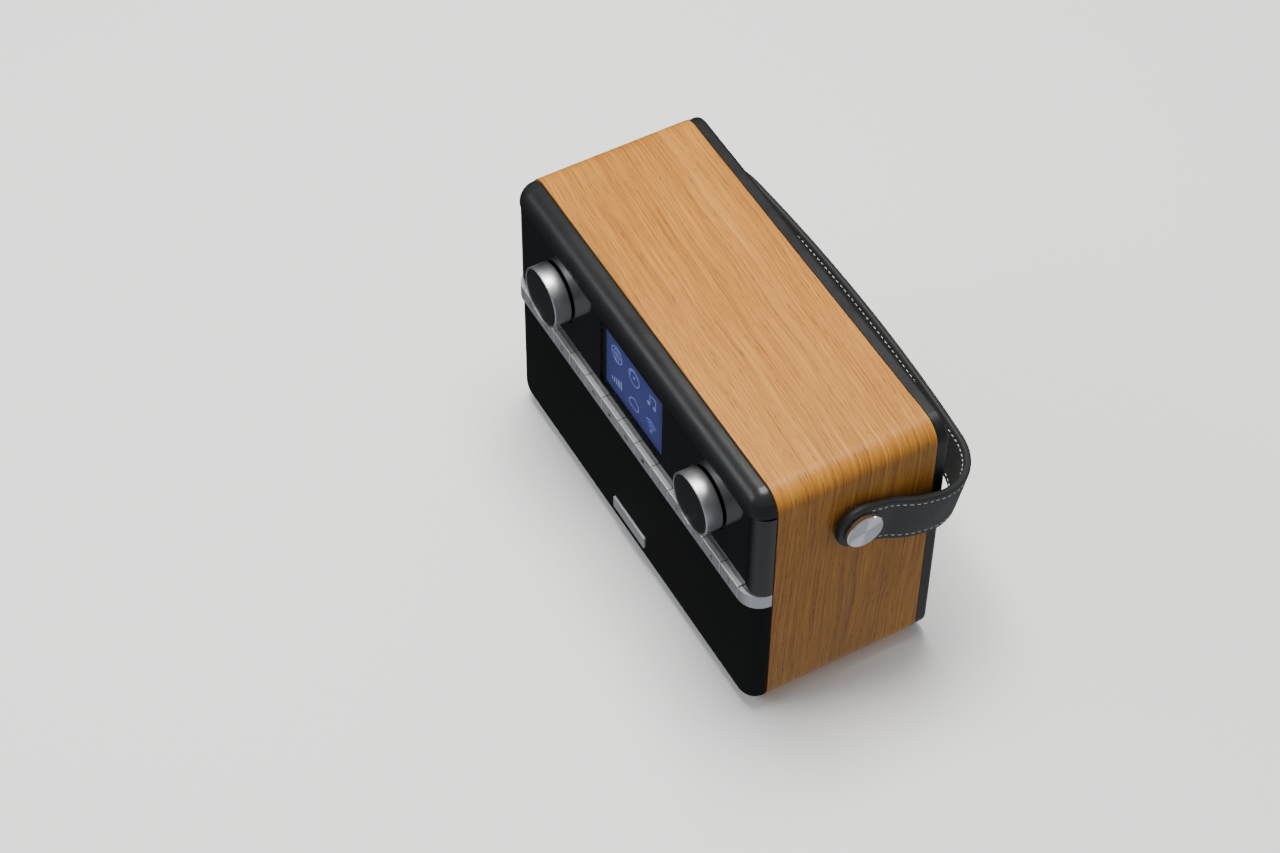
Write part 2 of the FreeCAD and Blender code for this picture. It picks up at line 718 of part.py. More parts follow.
def make_drivers():
    """Two full-range loudspeakers, bolted to the front of the baffle."""
    rim = "driver_radius"
    frames = []
    cones = []
    magnets = []
    screws = []
    for side, x in both_sides(DRIVER_X):
        place = {"x": x, "y": ahead("baffle_reach"), "z": DRIVER_Z}
        frames.append(turned(f"driver_frame_{side}", [
            (f"{rim} - 5.5", "-1.2"), (rim, "-1.2"), (rim, "0"), (f"{rim} - 2.8", "0"),
            (f"{rim} - 2.8", "5"), ("17", "21"), ("17", "25"), ("12", "25"), ("12", "23.8"),
            ("15.8", "23.8"), ("15.8", "20.6"), (f"{rim} - 4", "4.6"), (f"{rim} - 4", "0.4"),
            (f"{rim} - 5.5", "0.4"),
        ], "front", **place))
        cones.append(turned(f"driver_cone_{side}", [
            ("0", "2"), ("7", "3"), ("9.5", "6"), (f"{rim} - 9", "-0.2"), (f"{rim} - 7", "-1.9"),
            (f"{rim} - 5", "-1.9"), (f"{rim} - 3.4", "-1.7"), (f"{rim} - 3.4", "-1.2"),
            (f"{rim} - 6", "-1.2"), (f"{rim} - 8.6", "0.8"), ("9.5", "7.2"), ("8", "8"), ("8", "26"),
            ("7.2", "26"), ("7.2", "4.2"), ("0", "3"),
        ], "front", **place))
        magnets.append(turned(f"driver_magnet_{side}", [
            ("0", "20"), ("6.6", "20"), ("6.6", "31"), ("9", "31"), ("9", "25"), ("24", "25"),
            ("25", "26"), ("25", "34"), ("24", "35"), ("0", "35"),
        ], "front", **place))
        for corner in range(4):
            angle = 45 + 90 * corner
            screw_x = f"{x} + ({rim} - driver_screw_inset) * {math.cos(math.radians(angle)):.6f}"
            screw_z = f"{DRIVER_Z} + ({rim} - driver_screw_inset) * {math.sin(math.radians(angle)):.6f}"
            screws.append(rod(f"driver_screw_{side}_{corner + 1}", "y", "1.1", ahead("baffle_reach + 1.9"),
                              ahead("baffle_reach + 1.2"), (screw_x, screw_z)))
    node("driver_frames", group("driver_frames", *frames))
    node("driver_cones", group("driver_cones", *cones))
    node("driver_magnets", group("driver_magnets", *magnets))
    return screws


# ------------------------------------------------------------------ rear cover

DOOR_X = ("door_offset - door_width / 2", "door_offset + door_width / 2")
DOOR_LOW = "(foot_height + door_rise)"
DOOR_HIGH = f"({DOOR_LOW} + door_height)"
DOOR_AXIS_Z = f"({DOOR_LOW} + slip + door_thickness / 2)"
DOOR_AXIS_Y = behind("rear_reach - door_thickness / 2")
SOCKET_Z = "(foot_height + socket_rise)"
AERIAL_X = f"(-{SIDE} + aerial_margin)"
AERIAL_Z = f"({TOP} - aerial_drop)"
AERIAL_Y = behind("rear_reach + disc_rise + aerial_radius")


def socket_middle(index):
    return f"({SIDE} - socket_margin - socket_pitch * {index})"


def make_rear_cover():
    plate = outline_block("rear_blank", "rear_inset", "-sleeve_depth - rear_reach",
                          "-sleeve_depth - rear_seam", rear_round="rear_round")
    spigot = outline_block("rear_spigot", "sleeve_wall + slip", "-sleeve_depth - rear_seam - 1",
                           "-sleeve_depth + rear_spigot")
    hollow = outline_block("rear_hollow", LINING,
                           "-sleeve_depth - rear_reach + rear_plate", "-sleeve_depth + rear_spigot + 1")
    shell = cut("rear_shell", fuse("rear_solid", plate, spigot), hollow)
    bay = box("bay_walls", (f"{DOOR_X[0]} - bay_wall", f"{DOOR_X[1]} + bay_wall"),
              (behind("-bay_depth"), behind("rear_reach - rear_plate + 0.5")),
              (f"{DOOR_LOW} - bay_wall", f"{DOOR_HIGH} + bay_wall"))
    bosses = []
    holes = []
    for place, x, z in post_places():
        bosses.append(rod(f"rear_boss_{place}", "y", "post_radius", behind("-seam - rear_plate"),
                          behind("rear_reach - rear_plate + 0.5"), (x, z)))
        holes.append(rod(f"screw_hole_{place}", "y", "screw_radius + slip / 2", behind("-12"),
                         behind("rear_reach + 1"), (x, z)))
        holes.append(rod(f"screw_sink_{place}", "y", "screw_head + slip", behind("rear_reach - sink_depth"),
                         behind("rear_reach + 1"), (x, z)))
    body = fuse("rear_body", shell, bay, *bosses)
    holes.append(box("bay_space", (f"{DOOR_X[0]} + bay_wall", f"{DOOR_X[1]} - bay_wall"),
                     (behind("-bay_depth + bay_wall"), behind("rear_reach + 1")),
                     (f"{DOOR_LOW} + bay_wall", f"{DOOR_HIGH} - bay_wall")))
    holes.append(box("door_seat", DOOR_X, (behind("rear_reach - door_thickness - 0.2"),
                                           behind("rear_reach + 1")), (DOOR_LOW, DOOR_HIGH)))
    holes.append(rod("door_pin_holes", "x", "door_pin + running_fit", f"{DOOR_X[0]} - 2", f"{DOOR_X[1]} + 2",
                     (DOOR_AXIS_Y, DOOR_AXIS_Z)))
    holes.append(box("socket_recess",
                     (f"{socket_middle(3)} - recess_half", f"{socket_middle(0)} + recess_half"),
                     (behind("rear_reach - recess_depth"), behind("rear_reach + 1")),
                     (f"{SOCKET_Z} - recess_half", f"{SOCKET_Z} + recess_half")))
    for index, radius in enumerate(("dc_radius", "jack_radius", "jack_radius", "jack_radius")):
        holes.append(rod(f"socket_hole_{index}", "y", f"{radius} + running_fit", behind("0"),
                         behind("rear_reach + 1"), (socket_middle(index), SOCKET_Z)))
    holes.append(rod("aerial_hole", "y", "flange_radius + 0.1", behind("0"), behind("rear_reach + 1"),
                     (AERIAL_X, AERIAL_Z)))
    for index in range(8):
        x = f"{SIDE} - socket_margin - vent_offset + {index} * vent_pitch"
        holes.append(box(f"vent_{index}", (f"{x} - vent_width / 2", f"{x} + vent_width / 2"),
                         (behind("0"), behind("rear_reach + 1")),
                         (f"{TOP} - vent_low", f"{TOP} - vent_high")))
    node("rear_cover", cut("rear_cover", body, *holes))


def make_rear_fittings(driver_screws):
    screws = list(driver_screws)
    for place, x, z in post_places():
        shank = rod(f"rear_shank_{place}", "y", "screw_radius", behind("-12"),
                    behind("rear_reach - sink_depth"), (x, z))
        head = rod(f"rear_head_{place}", "y", "screw_head", behind("rear_reach - sink_depth"),
                   behind("rear_reach - 0.3"), (x, z))
        cross = [box(f"rear_drive_{place}_{turn}", (f"{x} - {half_x}", f"{x} + {half_x}"),
                     (behind("rear_reach - 0.3 - drive_depth"), behind("rear_reach")),
                     (f"{z} - {half_z}", f"{z} + {half_z}"))
                 for turn, half_x, half_z in ((1, "drive_half", "0.35"), (2, "0.35", "drive_half"))]
        screws.append(cut(f"rear_screw_{place}", fuse(f"rear_screw_blank_{place}", shank, head), *cross))
    node("screws", group("screws", *screws))
    face = "rear_reach - recess_depth"
    middle = (socket_middle(0), SOCKET_Z)
    shell = rod("dc_shell", "y", "dc_radius", behind("-socket_length"), behind(face), middle)
    bore = rod("dc_hollow", "y", "dc_bore", behind("-socket_length / 2"), behind("rear_reach"), middle)
    pin = rod("dc_contact", "y", "dc_pin", behind("-socket_length / 2 - 0.5"), behind(f"{face} - 1.5"),
              middle)
    node("dc_socket", fuse("dc_socket", cut("dc_ring", shell, bore), pin))
    jacks = []
    for index in (1, 2, 3):
        jack = rod(f"jack_shell_{index}", "y", "jack_radius", behind("-socket_length"), behind(face),
                   (socket_middle(index), SOCKET_Z))
        hole = rod(f"jack_bore_{index}", "y", "jack_bore", behind("-socket_length + 2"), behind("rear_reach"),
                   (socket_middle(index), SOCKET_Z))
        jacks.append(cut(f"jack_{index}", jack, hole))
    node("audio_sockets", group("audio_sockets", *jacks))


def make_battery():
    inside = "bay_wall + pack_gap"
    pack = box("pack", (f"{DOOR_X[0]} + {inside}", f"{DOOR_X[1]} - ({inside})"),
               (behind("-bay_depth + bay_wall"), behind("-bay_depth + bay_wall + pack_depth")),
               (f"{DOOR_LOW} + {inside}", f"{DOOR_HIGH} - ({inside})"))
    node("battery_pack", pack)
    leaf = box("door_leaf", (f"{DOOR_X[0]} + slip", f"{DOOR_X[1]} - slip"),
               (behind("rear_reach - door_thickness"), behind("rear_reach")),
               (DOOR_AXIS_Z, f"{DOOR_HIGH} - slip"))
    knuckle = rod("door_knuckle", "x", "door_thickness / 2", f"{DOOR_X[0]} + slip", f"{DOOR_X[1]} - slip",
                  (DOOR_AXIS_Y, DOOR_AXIS_Z))
    pins = rod("door_pins", "x", "door_pin", f"{DOOR_X[0]} - pin_reach", f"{DOOR_X[1]} + pin_reach",
               (DOOR_AXIS_Y, DOOR_AXIS_Z))
    grip = box("door_grip", ("door_offset - grip_half", "door_offset + grip_half"),
               (behind("rear_reach - 1"), behind("rear_reach + 1")),
               (f"{DOOR_HIGH} - grip_low", f"{DOOR_HIGH} - grip_high"))
    node("battery_door", cut("battery_door", fuse("door_body", leaf, knuckle, pins), grip))


def make_aerial():
    """A telescopic aerial stowed flat along the rear: it swivels, tilts back and pulls out."""
    plane_y = behind("rear_reach")
    flange = rod("aerial_flange", "y", "flange_radius", behind("0.5"), plane_y, (AERIAL_X, AERIAL_Z))
    collar = rod("aerial_collar", "y", "bush_collar", behind("0.5"), behind("rear_reach - rear_plate"),
                 (AERIAL_X, AERIAL_Z))
    bore = rod("aerial_bore", "y", "stalk_radius + running_fit", behind("0"), behind("rear_reach + 1"),
               (AERIAL_X, AERIAL_Z))
    node("aerial_mount", cut("aerial_mount", fuse("aerial_bush", flange, collar), bore))
    half = "knuckle_width / 2"
    cheek = f"({half} + cheek_gap + cheek_thickness)"
    disc = rod("base_disc", "y", "disc_radius", behind("rear_reach + 0.1"), behind("rear_reach + disc_rise"),
               (AERIAL_X, AERIAL_Z))
    stalk = rod("base_stalk", "y", "stalk_radius", behind("0.8"), behind("rear_reach + 0.2"),
                (AERIAL_X, AERIAL_Z))
    cheeks = [box(f"base_cheek_{side}", (f"{AERIAL_X} - 3", f"{AERIAL_X} + 3"),
                  (behind("rear_reach + disc_rise - 0.1"), f"{AERIAL_Y} + 3"), limits)
              for side, limits in (("low", (f"{AERIAL_Z} - {cheek}", f"{AERIAL_Z} - {half} - cheek_gap")),
                                   ("high", (f"{AERIAL_Z} + {half} + cheek_gap", f"{AERIAL_Z} + {cheek}")))]
    pin = rod("base_pin", "z", "1", f"{AERIAL_Z} - {cheek}", f"{AERIAL_Z} + {cheek}",
              (AERIAL_X, AERIAL_Y))
    node("aerial_base", fuse("aerial_base", disc, stalk, pin, *cheeks))
    start = f"({AERIAL_X} + tongue_start)"
    eye = rod("tongue_eye", "z", "2.8", f"{AERIAL_Z} - {half}", f"{AERIAL_Z} + {half}", (AERIAL_X, AERIAL_Y))
    tongue = box("tongue", (AERIAL_X, f"{start} + 2"),
                 (f"{AERIAL_Y} - tongue_half", f"{AERIAL_Y} + tongue_half"),
                 (f"{AERIAL_Z} - {half}", f"{AERIAL_Z} + {half}"))
    eye_bore = rod("tongue_bore", "z", "1 + running_fit", f"{AERIAL_Z} - 4", f"{AERIAL_Z} + 4",
                   (AERIAL_X, AERIAL_Y))
    root = cut("tongue_drilled", fuse("tongue_solid", eye, tongue), eye_bore)
    step = "(aerial_wall + running_fit)"
    for index in range(4):
        outer = f"aerial_radius - {index} * {step}"
        tube = rod(f"tube_{index + 1}", "x", outer, f"{start} + 3 * {min(index, 1)} + {index}",
                   f"{start} + aerial_length + {index}", (AERIAL_Y, AERIAL_Z))
        end = rod(f"tube_{index + 1}_bore", "x", f"{outer} - aerial_wall", f"{start} + 2.5",
                  f"{start} + aerial_length + 9", (AERIAL_Y, AERIAL_Z))
        label = f"aerial_tube_{index + 1}"
        if index == 0:
            node(label, cut(label, fuse("tube_with_root", tube, root), end))
        elif index < 3:
            node(label, cut(label, tube, end))
        else:
            tip = rod("aerial_tip_knob", "x", "aerial_radius - 0.4", f"{start} + aerial_length + {index}",
                      f"{start} + aerial_length + {index} + tip_length", (AERIAL_Y, AERIAL_Z))
            node(label, fuse(label, tube, tip))


# ------------------------------------------------------------------ carrying handle

def trace(start, runs, offset):
    """The edges of a line beside the handle's centre line, and its two end points."""
    heading = 90.0

    def outward():
        return Vector(math.sin(math.radians(heading)), -math.cos(math.radians(heading)), 0)

    point = start + outward() * offset
    first = point
    edges = []
    for size, turn in runs:
        if turn == 0:
            end = point + Vector(math.cos(math.radians(heading)), math.sin(math.radians(heading)), 0) * size
            edges.append(Part.LineSegment(point, end).toShape())
        else:
            sign = math.copysign(1, turn)
            radius = size + sign * offset
            centre = point - outward() * radius * sign
            heading += turn / 2
            halfway = centre + outward() * radius * sign
            heading += turn / 2
            end = centre + outward() * radius * sign
            edges.append(Part.Arc(point, halfway, end).toShape())
        point = end
    return edges, first, point


def make_strap():
    """The leather band: one bent strip with round ends, bored for its two eyelets."""
    start, runs = strap_pieces()
    half = number("strap_thickness / 2")
    width = number("strap_width")
    outer, outer_first, outer_last = trace(start, runs, half)
    inner, inner_first, inner_last = trace(start, runs, -half)
    ends = [Part.LineSegment(outer_last, inner_last).toShape(),
            Part.LineSegment(inner_first, outer_first).toShape()]
    face = Part.Face(Part.Wire(Part.__sortEdges__(outer + inner + ends)))
    right = face.extrude(Vector(0, 0, width))
    right.translate(Vector(0, 0, -width / 2))
    tips = [edge for edge in right.Edges
            if edge.BoundBox.YMax < start.y + 1e-6 and edge.BoundBox.ZLength < 1e-6]
    right = right.makeFillet(width / 2 - 0.05, tips)
    hole = Part.makeCylinder(number("stud_radius + 1.5"), 40, Vector(start.x - 20, 0, 0), Vector(1, 0, 0))
    right = right.cut(hole)
    left = right.mirror(Vector(0, 0, 0), Vector(1, 0, 0))
    strap = doc.addObject("Part::Feature", "handle_strap")
    strap.Shape = right.fuse(left).removeSplitter()
    strap.Placement.Rotation = Rotation(Vector(-1, 0, 0), number("strap_drop"))
    bind(strap, "Placement.Base.y", "middle")
    bind(strap, "Placement.Base.z", STUD_Z)
    node("handle_strap", strap)


def make_studs():
    """The pivots: a shouldered stud through the wall, its spacer, nut, cap and the strap's eyelet."""
    shoulder = f"{SIDE} + spacer_thickness"
    cap_start = f"{shoulder} + strap_thickness + 2 * slip"
    studs = []
    spacers = []
    nuts = []
    eyelets = []
    for side in ("left", "right"):
        place = {"y": "middle", "z": STUD_Z}
        studs.append(turned(f"stud_{side}", [
            ("0", f"{SIDE} - sleeve_wall - 6"), ("stud_shank", f"{SIDE} - sleeve_wall - 6"),
            ("stud_shank", shoulder), ("stud_radius", shoulder), ("stud_radius", cap_start),
            ("0", cap_start),
        ], side, **place))
        spacers.append(turned(f"spacer_{side}", [
            ("stud_shank", SIDE), ("8", SIDE), ("8", shoulder), ("stud_shank", shoulder),
        ], side, **place))
        nuts.append(turned(f"nut_{side}", [
            ("stud_shank", f"{SIDE} - sleeve_wall - 4"), ("5.5", f"{SIDE} - sleeve_wall - 4"),
            ("5.5", f"{SIDE} - sleeve_wall"), ("stud_shank", f"{SIDE} - sleeve_wall"),
        ], side, **place))
        eyelets.append(turned(f"eyelet_{side}", [
            ("stud_radius + running_fit", f"{shoulder} + slip"), ("stud_radius + 1.5", f"{shoulder} + slip"),
            ("stud_radius + 1.5", f"{shoulder} + slip + strap_thickness"),
            ("stud_radius + running_fit", f"{shoulder} + slip + strap_thickness"),
        ], side, **place))
        cap = turned(f"cap_{side}", [
            ("0", cap_start), ("cap_radius - 0.4", cap_start), ("cap_radius", f"{cap_start} + 0.4"),
            ("cap_radius", f"{cap_start} + cap_thickness - 0.4"),
            ("cap_radius - 0.4", f"{cap_start} + cap_thickness"), ("0", f"{cap_start} + cap_thickness"),
        ], side, **place)
        node(f"stud_cap_{side}", cap)
    node("studs", group("studs", *studs))
    node("stud_spacers", group("stud_spacers", *spacers))
    node("stud_nuts", group("stud_nuts", *nuts))
    node("strap_eyelets", group("strap_eyelets", *eyelets))


# ------------------------------------------------------------------ the whole radio

make_sleeve()
make_feet()
make_baffle()
make_hood()
make_panel()
make_display()
make_grille()
make_badge()
for key in range(KEYS):
    make_key(key)
make_key_guide()
make_corner_trims()
make_knob("volume", f"-{KNOB_X}")
make_knob("tuning", KNOB_X)
make_encoders()
make_boards()
make_rear_cover()
make_rear_fittings(make_drivers())
make_battery()
make_aerial()
make_strap()
make_studs()
doc.recompute()

for item in doc.Objects:
    if "Invalid" in item.State or "Error" in item.State:
        raise RuntimeError(f"{item.Label} failed: {item.State}")
for item in nodes:
    if item.Shape.isNull() or not item.Shape.isValid() or not item.Shape.Solids:
        raise RuntimeError(f"{item.Label} has no sound solid")

os.makedirs("parts", exist_ok=True)
for item in nodes:
    item.Shape.exportStep(f"parts/{item.Label}.step")
print(len(nodes), "sub-parts written")
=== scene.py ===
import math
import random

import bmesh
import bpy
from mathutils import Matrix, Vector


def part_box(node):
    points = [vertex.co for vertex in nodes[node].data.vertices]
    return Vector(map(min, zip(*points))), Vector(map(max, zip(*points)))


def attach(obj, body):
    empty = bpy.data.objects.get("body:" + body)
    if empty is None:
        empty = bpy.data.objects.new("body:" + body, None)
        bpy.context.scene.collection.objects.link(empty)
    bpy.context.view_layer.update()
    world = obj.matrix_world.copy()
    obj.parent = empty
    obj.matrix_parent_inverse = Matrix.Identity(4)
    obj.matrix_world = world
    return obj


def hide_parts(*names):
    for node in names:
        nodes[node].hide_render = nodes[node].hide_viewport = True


# The looks of a tabletop radio: a veneered sleeve between moulded ends, a gloss control panel,
# satin keys, turned knobs, a cloth grille and a stitched leather handle.
# Sizes below are millimetres; `shown` turns them into the frame's metres.

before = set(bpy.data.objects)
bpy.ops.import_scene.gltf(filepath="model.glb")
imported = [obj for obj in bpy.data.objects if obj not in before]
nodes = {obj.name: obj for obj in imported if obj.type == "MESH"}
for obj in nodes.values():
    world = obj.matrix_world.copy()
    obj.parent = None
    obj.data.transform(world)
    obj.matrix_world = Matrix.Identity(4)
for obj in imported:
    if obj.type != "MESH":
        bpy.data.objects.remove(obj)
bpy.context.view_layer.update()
MM = 0.001


def span(node):
    """Lowest and highest corner of a CAD node, in millimetres."""
    low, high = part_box(node)
    return low / MM, high / MM


WOOD_HIGH = span("cabinet_sleeve")[1]
WOOD_CORNER = 11.5

# ------------------------------------------------------------------ camera, floor and lights

CAMERA_AZIMUTH = 60.245
CAMERA_ELEVATION = 50.502
CAMERA_ROLL = 0.648
CAMERA_PLACE = Vector((0.83484, -0.53347, 1.25876))
CAMERA_LENS = 87.49

WORLD_COLOUR = (0.90, 0.95, 1.0)
HORIZON_BLUR = 0.06
FLOOR_HALF = 4000


def make_camera():
    data = bpy.data.cameras.new("camera")
    data.sensor_width = 36.0
    data.lens = CAMERA_LENS
    data.clip_start = 0.05
    data.clip_end = 50.0
    azimuth, elevation, roll = map(math.radians, (CAMERA_AZIMUTH, CAMERA_ELEVATION, CAMERA_ROLL))
    back = Vector((math.sin(azimuth) * math.cos(elevation),
                   -math.cos(azimuth) * math.cos(elevation),
                   math.sin(elevation)))
    right = Vector((math.cos(azimuth), math.sin(azimuth), 0))
    up = back.cross(right)
    across = right * math.cos(roll) + up * math.sin(roll)
    upward = up * math.cos(roll) - right * math.sin(roll)
    axes = Matrix((across, upward, back)).transposed().to_4x4()
    camera = bpy.data.objects.new("camera", data)
    camera.matrix_world = Matrix.Translation(CAMERA_PLACE) @ axes
    bpy.context.scene.collection.objects.link(camera)
    bpy.context.scene.camera = camera


def make_light(name, place, target, size, power, tint=(1, 1, 1)):
    data = bpy.data.lights.new(name, "AREA")
    data.shape = "RECTANGLE"
    data.size, data.size_y = size
    data.energy = power
    data.color = tint
    light = bpy.data.objects.new(name, data)
    light.location = place
    light.rotation_mode = "QUATERNION"
    light.rotation_quaternion = (Vector(target) - Vector(place)).to_track_quat("-Z", "Y")
    bpy.context.scene.collection.objects.link(light)


def make_studio():
    world = bpy.data.worlds.new("studio")
    world.use_nodes = True
    tree = world.node_tree
    direction = tree.nodes.new("ShaderNodeSeparateXYZ")
    tree.links.new(tree.nodes.new("ShaderNodeTexCoord").outputs["Generated"], direction.inputs[0])

    def blend(value, low, high, dim, bright):
        """Brightness that rises from dim to bright as the value goes from low to high."""
        made = tree.nodes.new("ShaderNodeMapRange")
        made.interpolation_type = "SMOOTHSTEP"
        for key, item in (("Value", value), ("From Min", low), ("From Max", high), ("To Min", dim),
                          ("To Max", bright)):
            if isinstance(item, bpy.types.NodeSocket):
                tree.links.new(item, made.inputs[key])
            else:
                made.inputs[key].default_value = item
        return made.outputs[0]

    x, _, z = direction.outputs
    # below the horizon the world stands in for the floor, which gloss and bounced light don't see
    below = blend(x, -0.4, 0.3, 0.05, 0.55)
    above = blend(z, 0.0, 1.0, 0.22, 0.5)
    strength = blend(z, -HORIZON_BLUR, HORIZON_BLUR, below, above)
    background = tree.nodes["Background"]
    background.inputs["Color"].default_value = (*WORLD_COLOUR, 1)
    tree.links.new(strength, background.inputs["Strength"])
    bpy.context.scene.world = world
    make_light("overhead", (-0.22, 0.05, 1.6), (0, 0, 0.08), (0.75, 0.75), 42.0,
               (1.0, 0.97, 0.92))
    make_light("front_left", (-0.55, -1.25, 0.95), (0, -0.05, 0.1), (0.9, 0.5), 8.5)
    make_light("glint", (0.95, 1.45, 0.35), (0.12, 0, 0.12), (0.3, 0.3), 1.4)


# ------------------------------------------------------------------ material graphs

class Finish:
    """A procedural material: a Principled shader and the nodes that drive it."""

    def __init__(self, name, **constants):
        self.material = bpy.data.materials.new(name)
        self.material.use_nodes = True
        self.tree = self.material.node_tree
        self.shader = self.tree.nodes["Principled BSDF"]
        for key, value in constants.items():
            self.shader.inputs[key.replace("_", " ")].default_value = value

    def add(self, kind, inputs=None, **settings):
        made = self.tree.nodes.new(kind)
        for key, value in settings.items():
            setattr(made, key, value)
        for key, value in (inputs or {}).items():
            self.feed(made.inputs[key], value)
        return made

    def feed(self, socket, value):
        if isinstance(value, bpy.types.NodeSocket):
            self.tree.links.new(value, socket)
        else:
            socket.default_value = value

    def tangent(self, axis):
        return self.add("ShaderNodeTangent", direction_type="RADIAL", axis=axis).outputs[0]

    def drive(self, **sources):
        for key, source in sources.items():
            self.feed(self.shader.inputs[key.replace("_", " ")], source)

    def math(self, operation, *values):
        made = self.add("ShaderNodeMath", operation=operation)
        for index, value in enumerate(values):
            self.feed(made.inputs[index], value)
        return made.outputs[0]

    def remap(self, value, low, high, start=0.0, end=1.0):
        made = self.add("ShaderNodeMapRange", interpolation_type="SMOOTHSTEP")
        for key, item in (("Value", value), ("From Min", low), ("From Max", high), ("To Min", start),
                          ("To Max", end)):
            self.feed(made.inputs[key], item)
        return made.outputs[0]

    def place(self):
        """Where a point is on its piece, in millimetres, as a vector."""
        coordinate = self.add("ShaderNodeTexCoord").outputs["Object"]
        return self.add("ShaderNodeVectorMath", {0: coordinate, 1: (1 / MM,) * 3},
                        operation="MULTIPLY").outputs[0]

    def split(self, vector):
        return self.add("ShaderNodeSeparateXYZ", {0: vector}).outputs

    def combine(self, x, y, z=0.0):
        return self.add("ShaderNodeCombineXYZ", {0: x, 1: y, 2: z}).outputs[0]

    def stretched(self, vector, factors):
        """The vector with each part multiplied by its own factor."""
        return self.combine(*(self.math("MULTIPLY", part, factor)
                              for part, factor in zip(self.split(vector), factors)))

    def from_middle(self, vector, middle):
        return self.add("ShaderNodeVectorMath", {0: vector, 1: tuple(middle)},
                        operation="SUBTRACT").outputs[0]

    def length(self, first, second):
        return self.math("SQRT", self.math("ADD", self.math("MULTIPLY", first, first),
                                           self.math("MULTIPLY", second, second)))

    def facing(self):
        """The surface normal's three parts, on the piece's own axes."""
        return self.split(self.add("ShaderNodeTexCoord").outputs["Normal"])

    def noise(self, vector, scale, detail=3.0, roughness=0.55, distortion=0.0):
        return self.add("ShaderNodeTexNoise", {
            "Vector": vector, "Scale": scale, "Detail": detail, "Roughness": roughness,
            "Distortion": distortion}).outputs[0]

    def cells(self, vector, scale, feature="F1", smoothness=None):
        made = self.add("ShaderNodeTexVoronoi", {"Vector": vector, "Scale": scale}, feature=feature)
        if smoothness is not None:
            made.inputs["Smoothness"].default_value = smoothness
        return made.outputs["Distance"]

    def ramp(self, value, *stops):
        made = self.add("ShaderNodeValToRGB", {0: value})
        points = made.color_ramp.elements
        while len(points) < len(stops):
            points.new(0.5)
        for point, (position, colour) in zip(points, stops):
            point.position = position
            point.color = (*colour, 1)
        return made.outputs[0]

    def mix(self, share, low, high):
        """A colour that goes from low to high; each may be a colour or a socket."""
        made = self.add("ShaderNodeMix", data_type="RGBA")
        for index, value in ((0, share), (6, low), (7, high)):
            self.feed(made.inputs[index], (*value, 1) if isinstance(value, tuple) else value)
        return made.outputs[2]

    def bump(self, height, depth, strength=1.0):
        """Relief of this many millimetres over the height's range."""
        return self.add("ShaderNodeBump", {"Height": height, "Distance": depth * MM,
                                           "Strength": strength}).outputs[0]

    def uneven(self, pattern, share, cloud, roughness):
        """Roughness that wanders with a broad cloud and a little with a fine pattern."""
        broad = self.remap(cloud, 0.3, 0.7, roughness - 0.07, roughness)
        return self.math("MULTIPLY_ADD", pattern, share, broad)


def scaled(colour, factor):
    return tuple(part * factor for part in colour)


def moulded(name, colour, roughness, grain, depth, spread=0.12, **constants):
    """A moulded or cast surface: fine grain, faint mottling and uneven sheen."""
    f = Finish(name, **constants)
    place = f.place()
    fine = f.noise(place, grain, 2.0)
    mottle = f.noise(place, 0.06, 4.0, 0.6)
    shade = f.mix(mottle, scaled(colour, 1 - spread), scaled(colour, 1 + spread))
    f.drive(Base_Color=f.mix(f.remap(fine, 0.3, 0.7, 0.0, 0.35), shade, scaled(colour, 0.72)),
            Roughness=f.remap(f.math("ADD", mottle, f.math("MULTIPLY", fine, 0.4)), 0.4, 1.0,
                              roughness - 0.06, roughness + 0.06),
            Normal=f.bump(fine, depth))
    return f.material


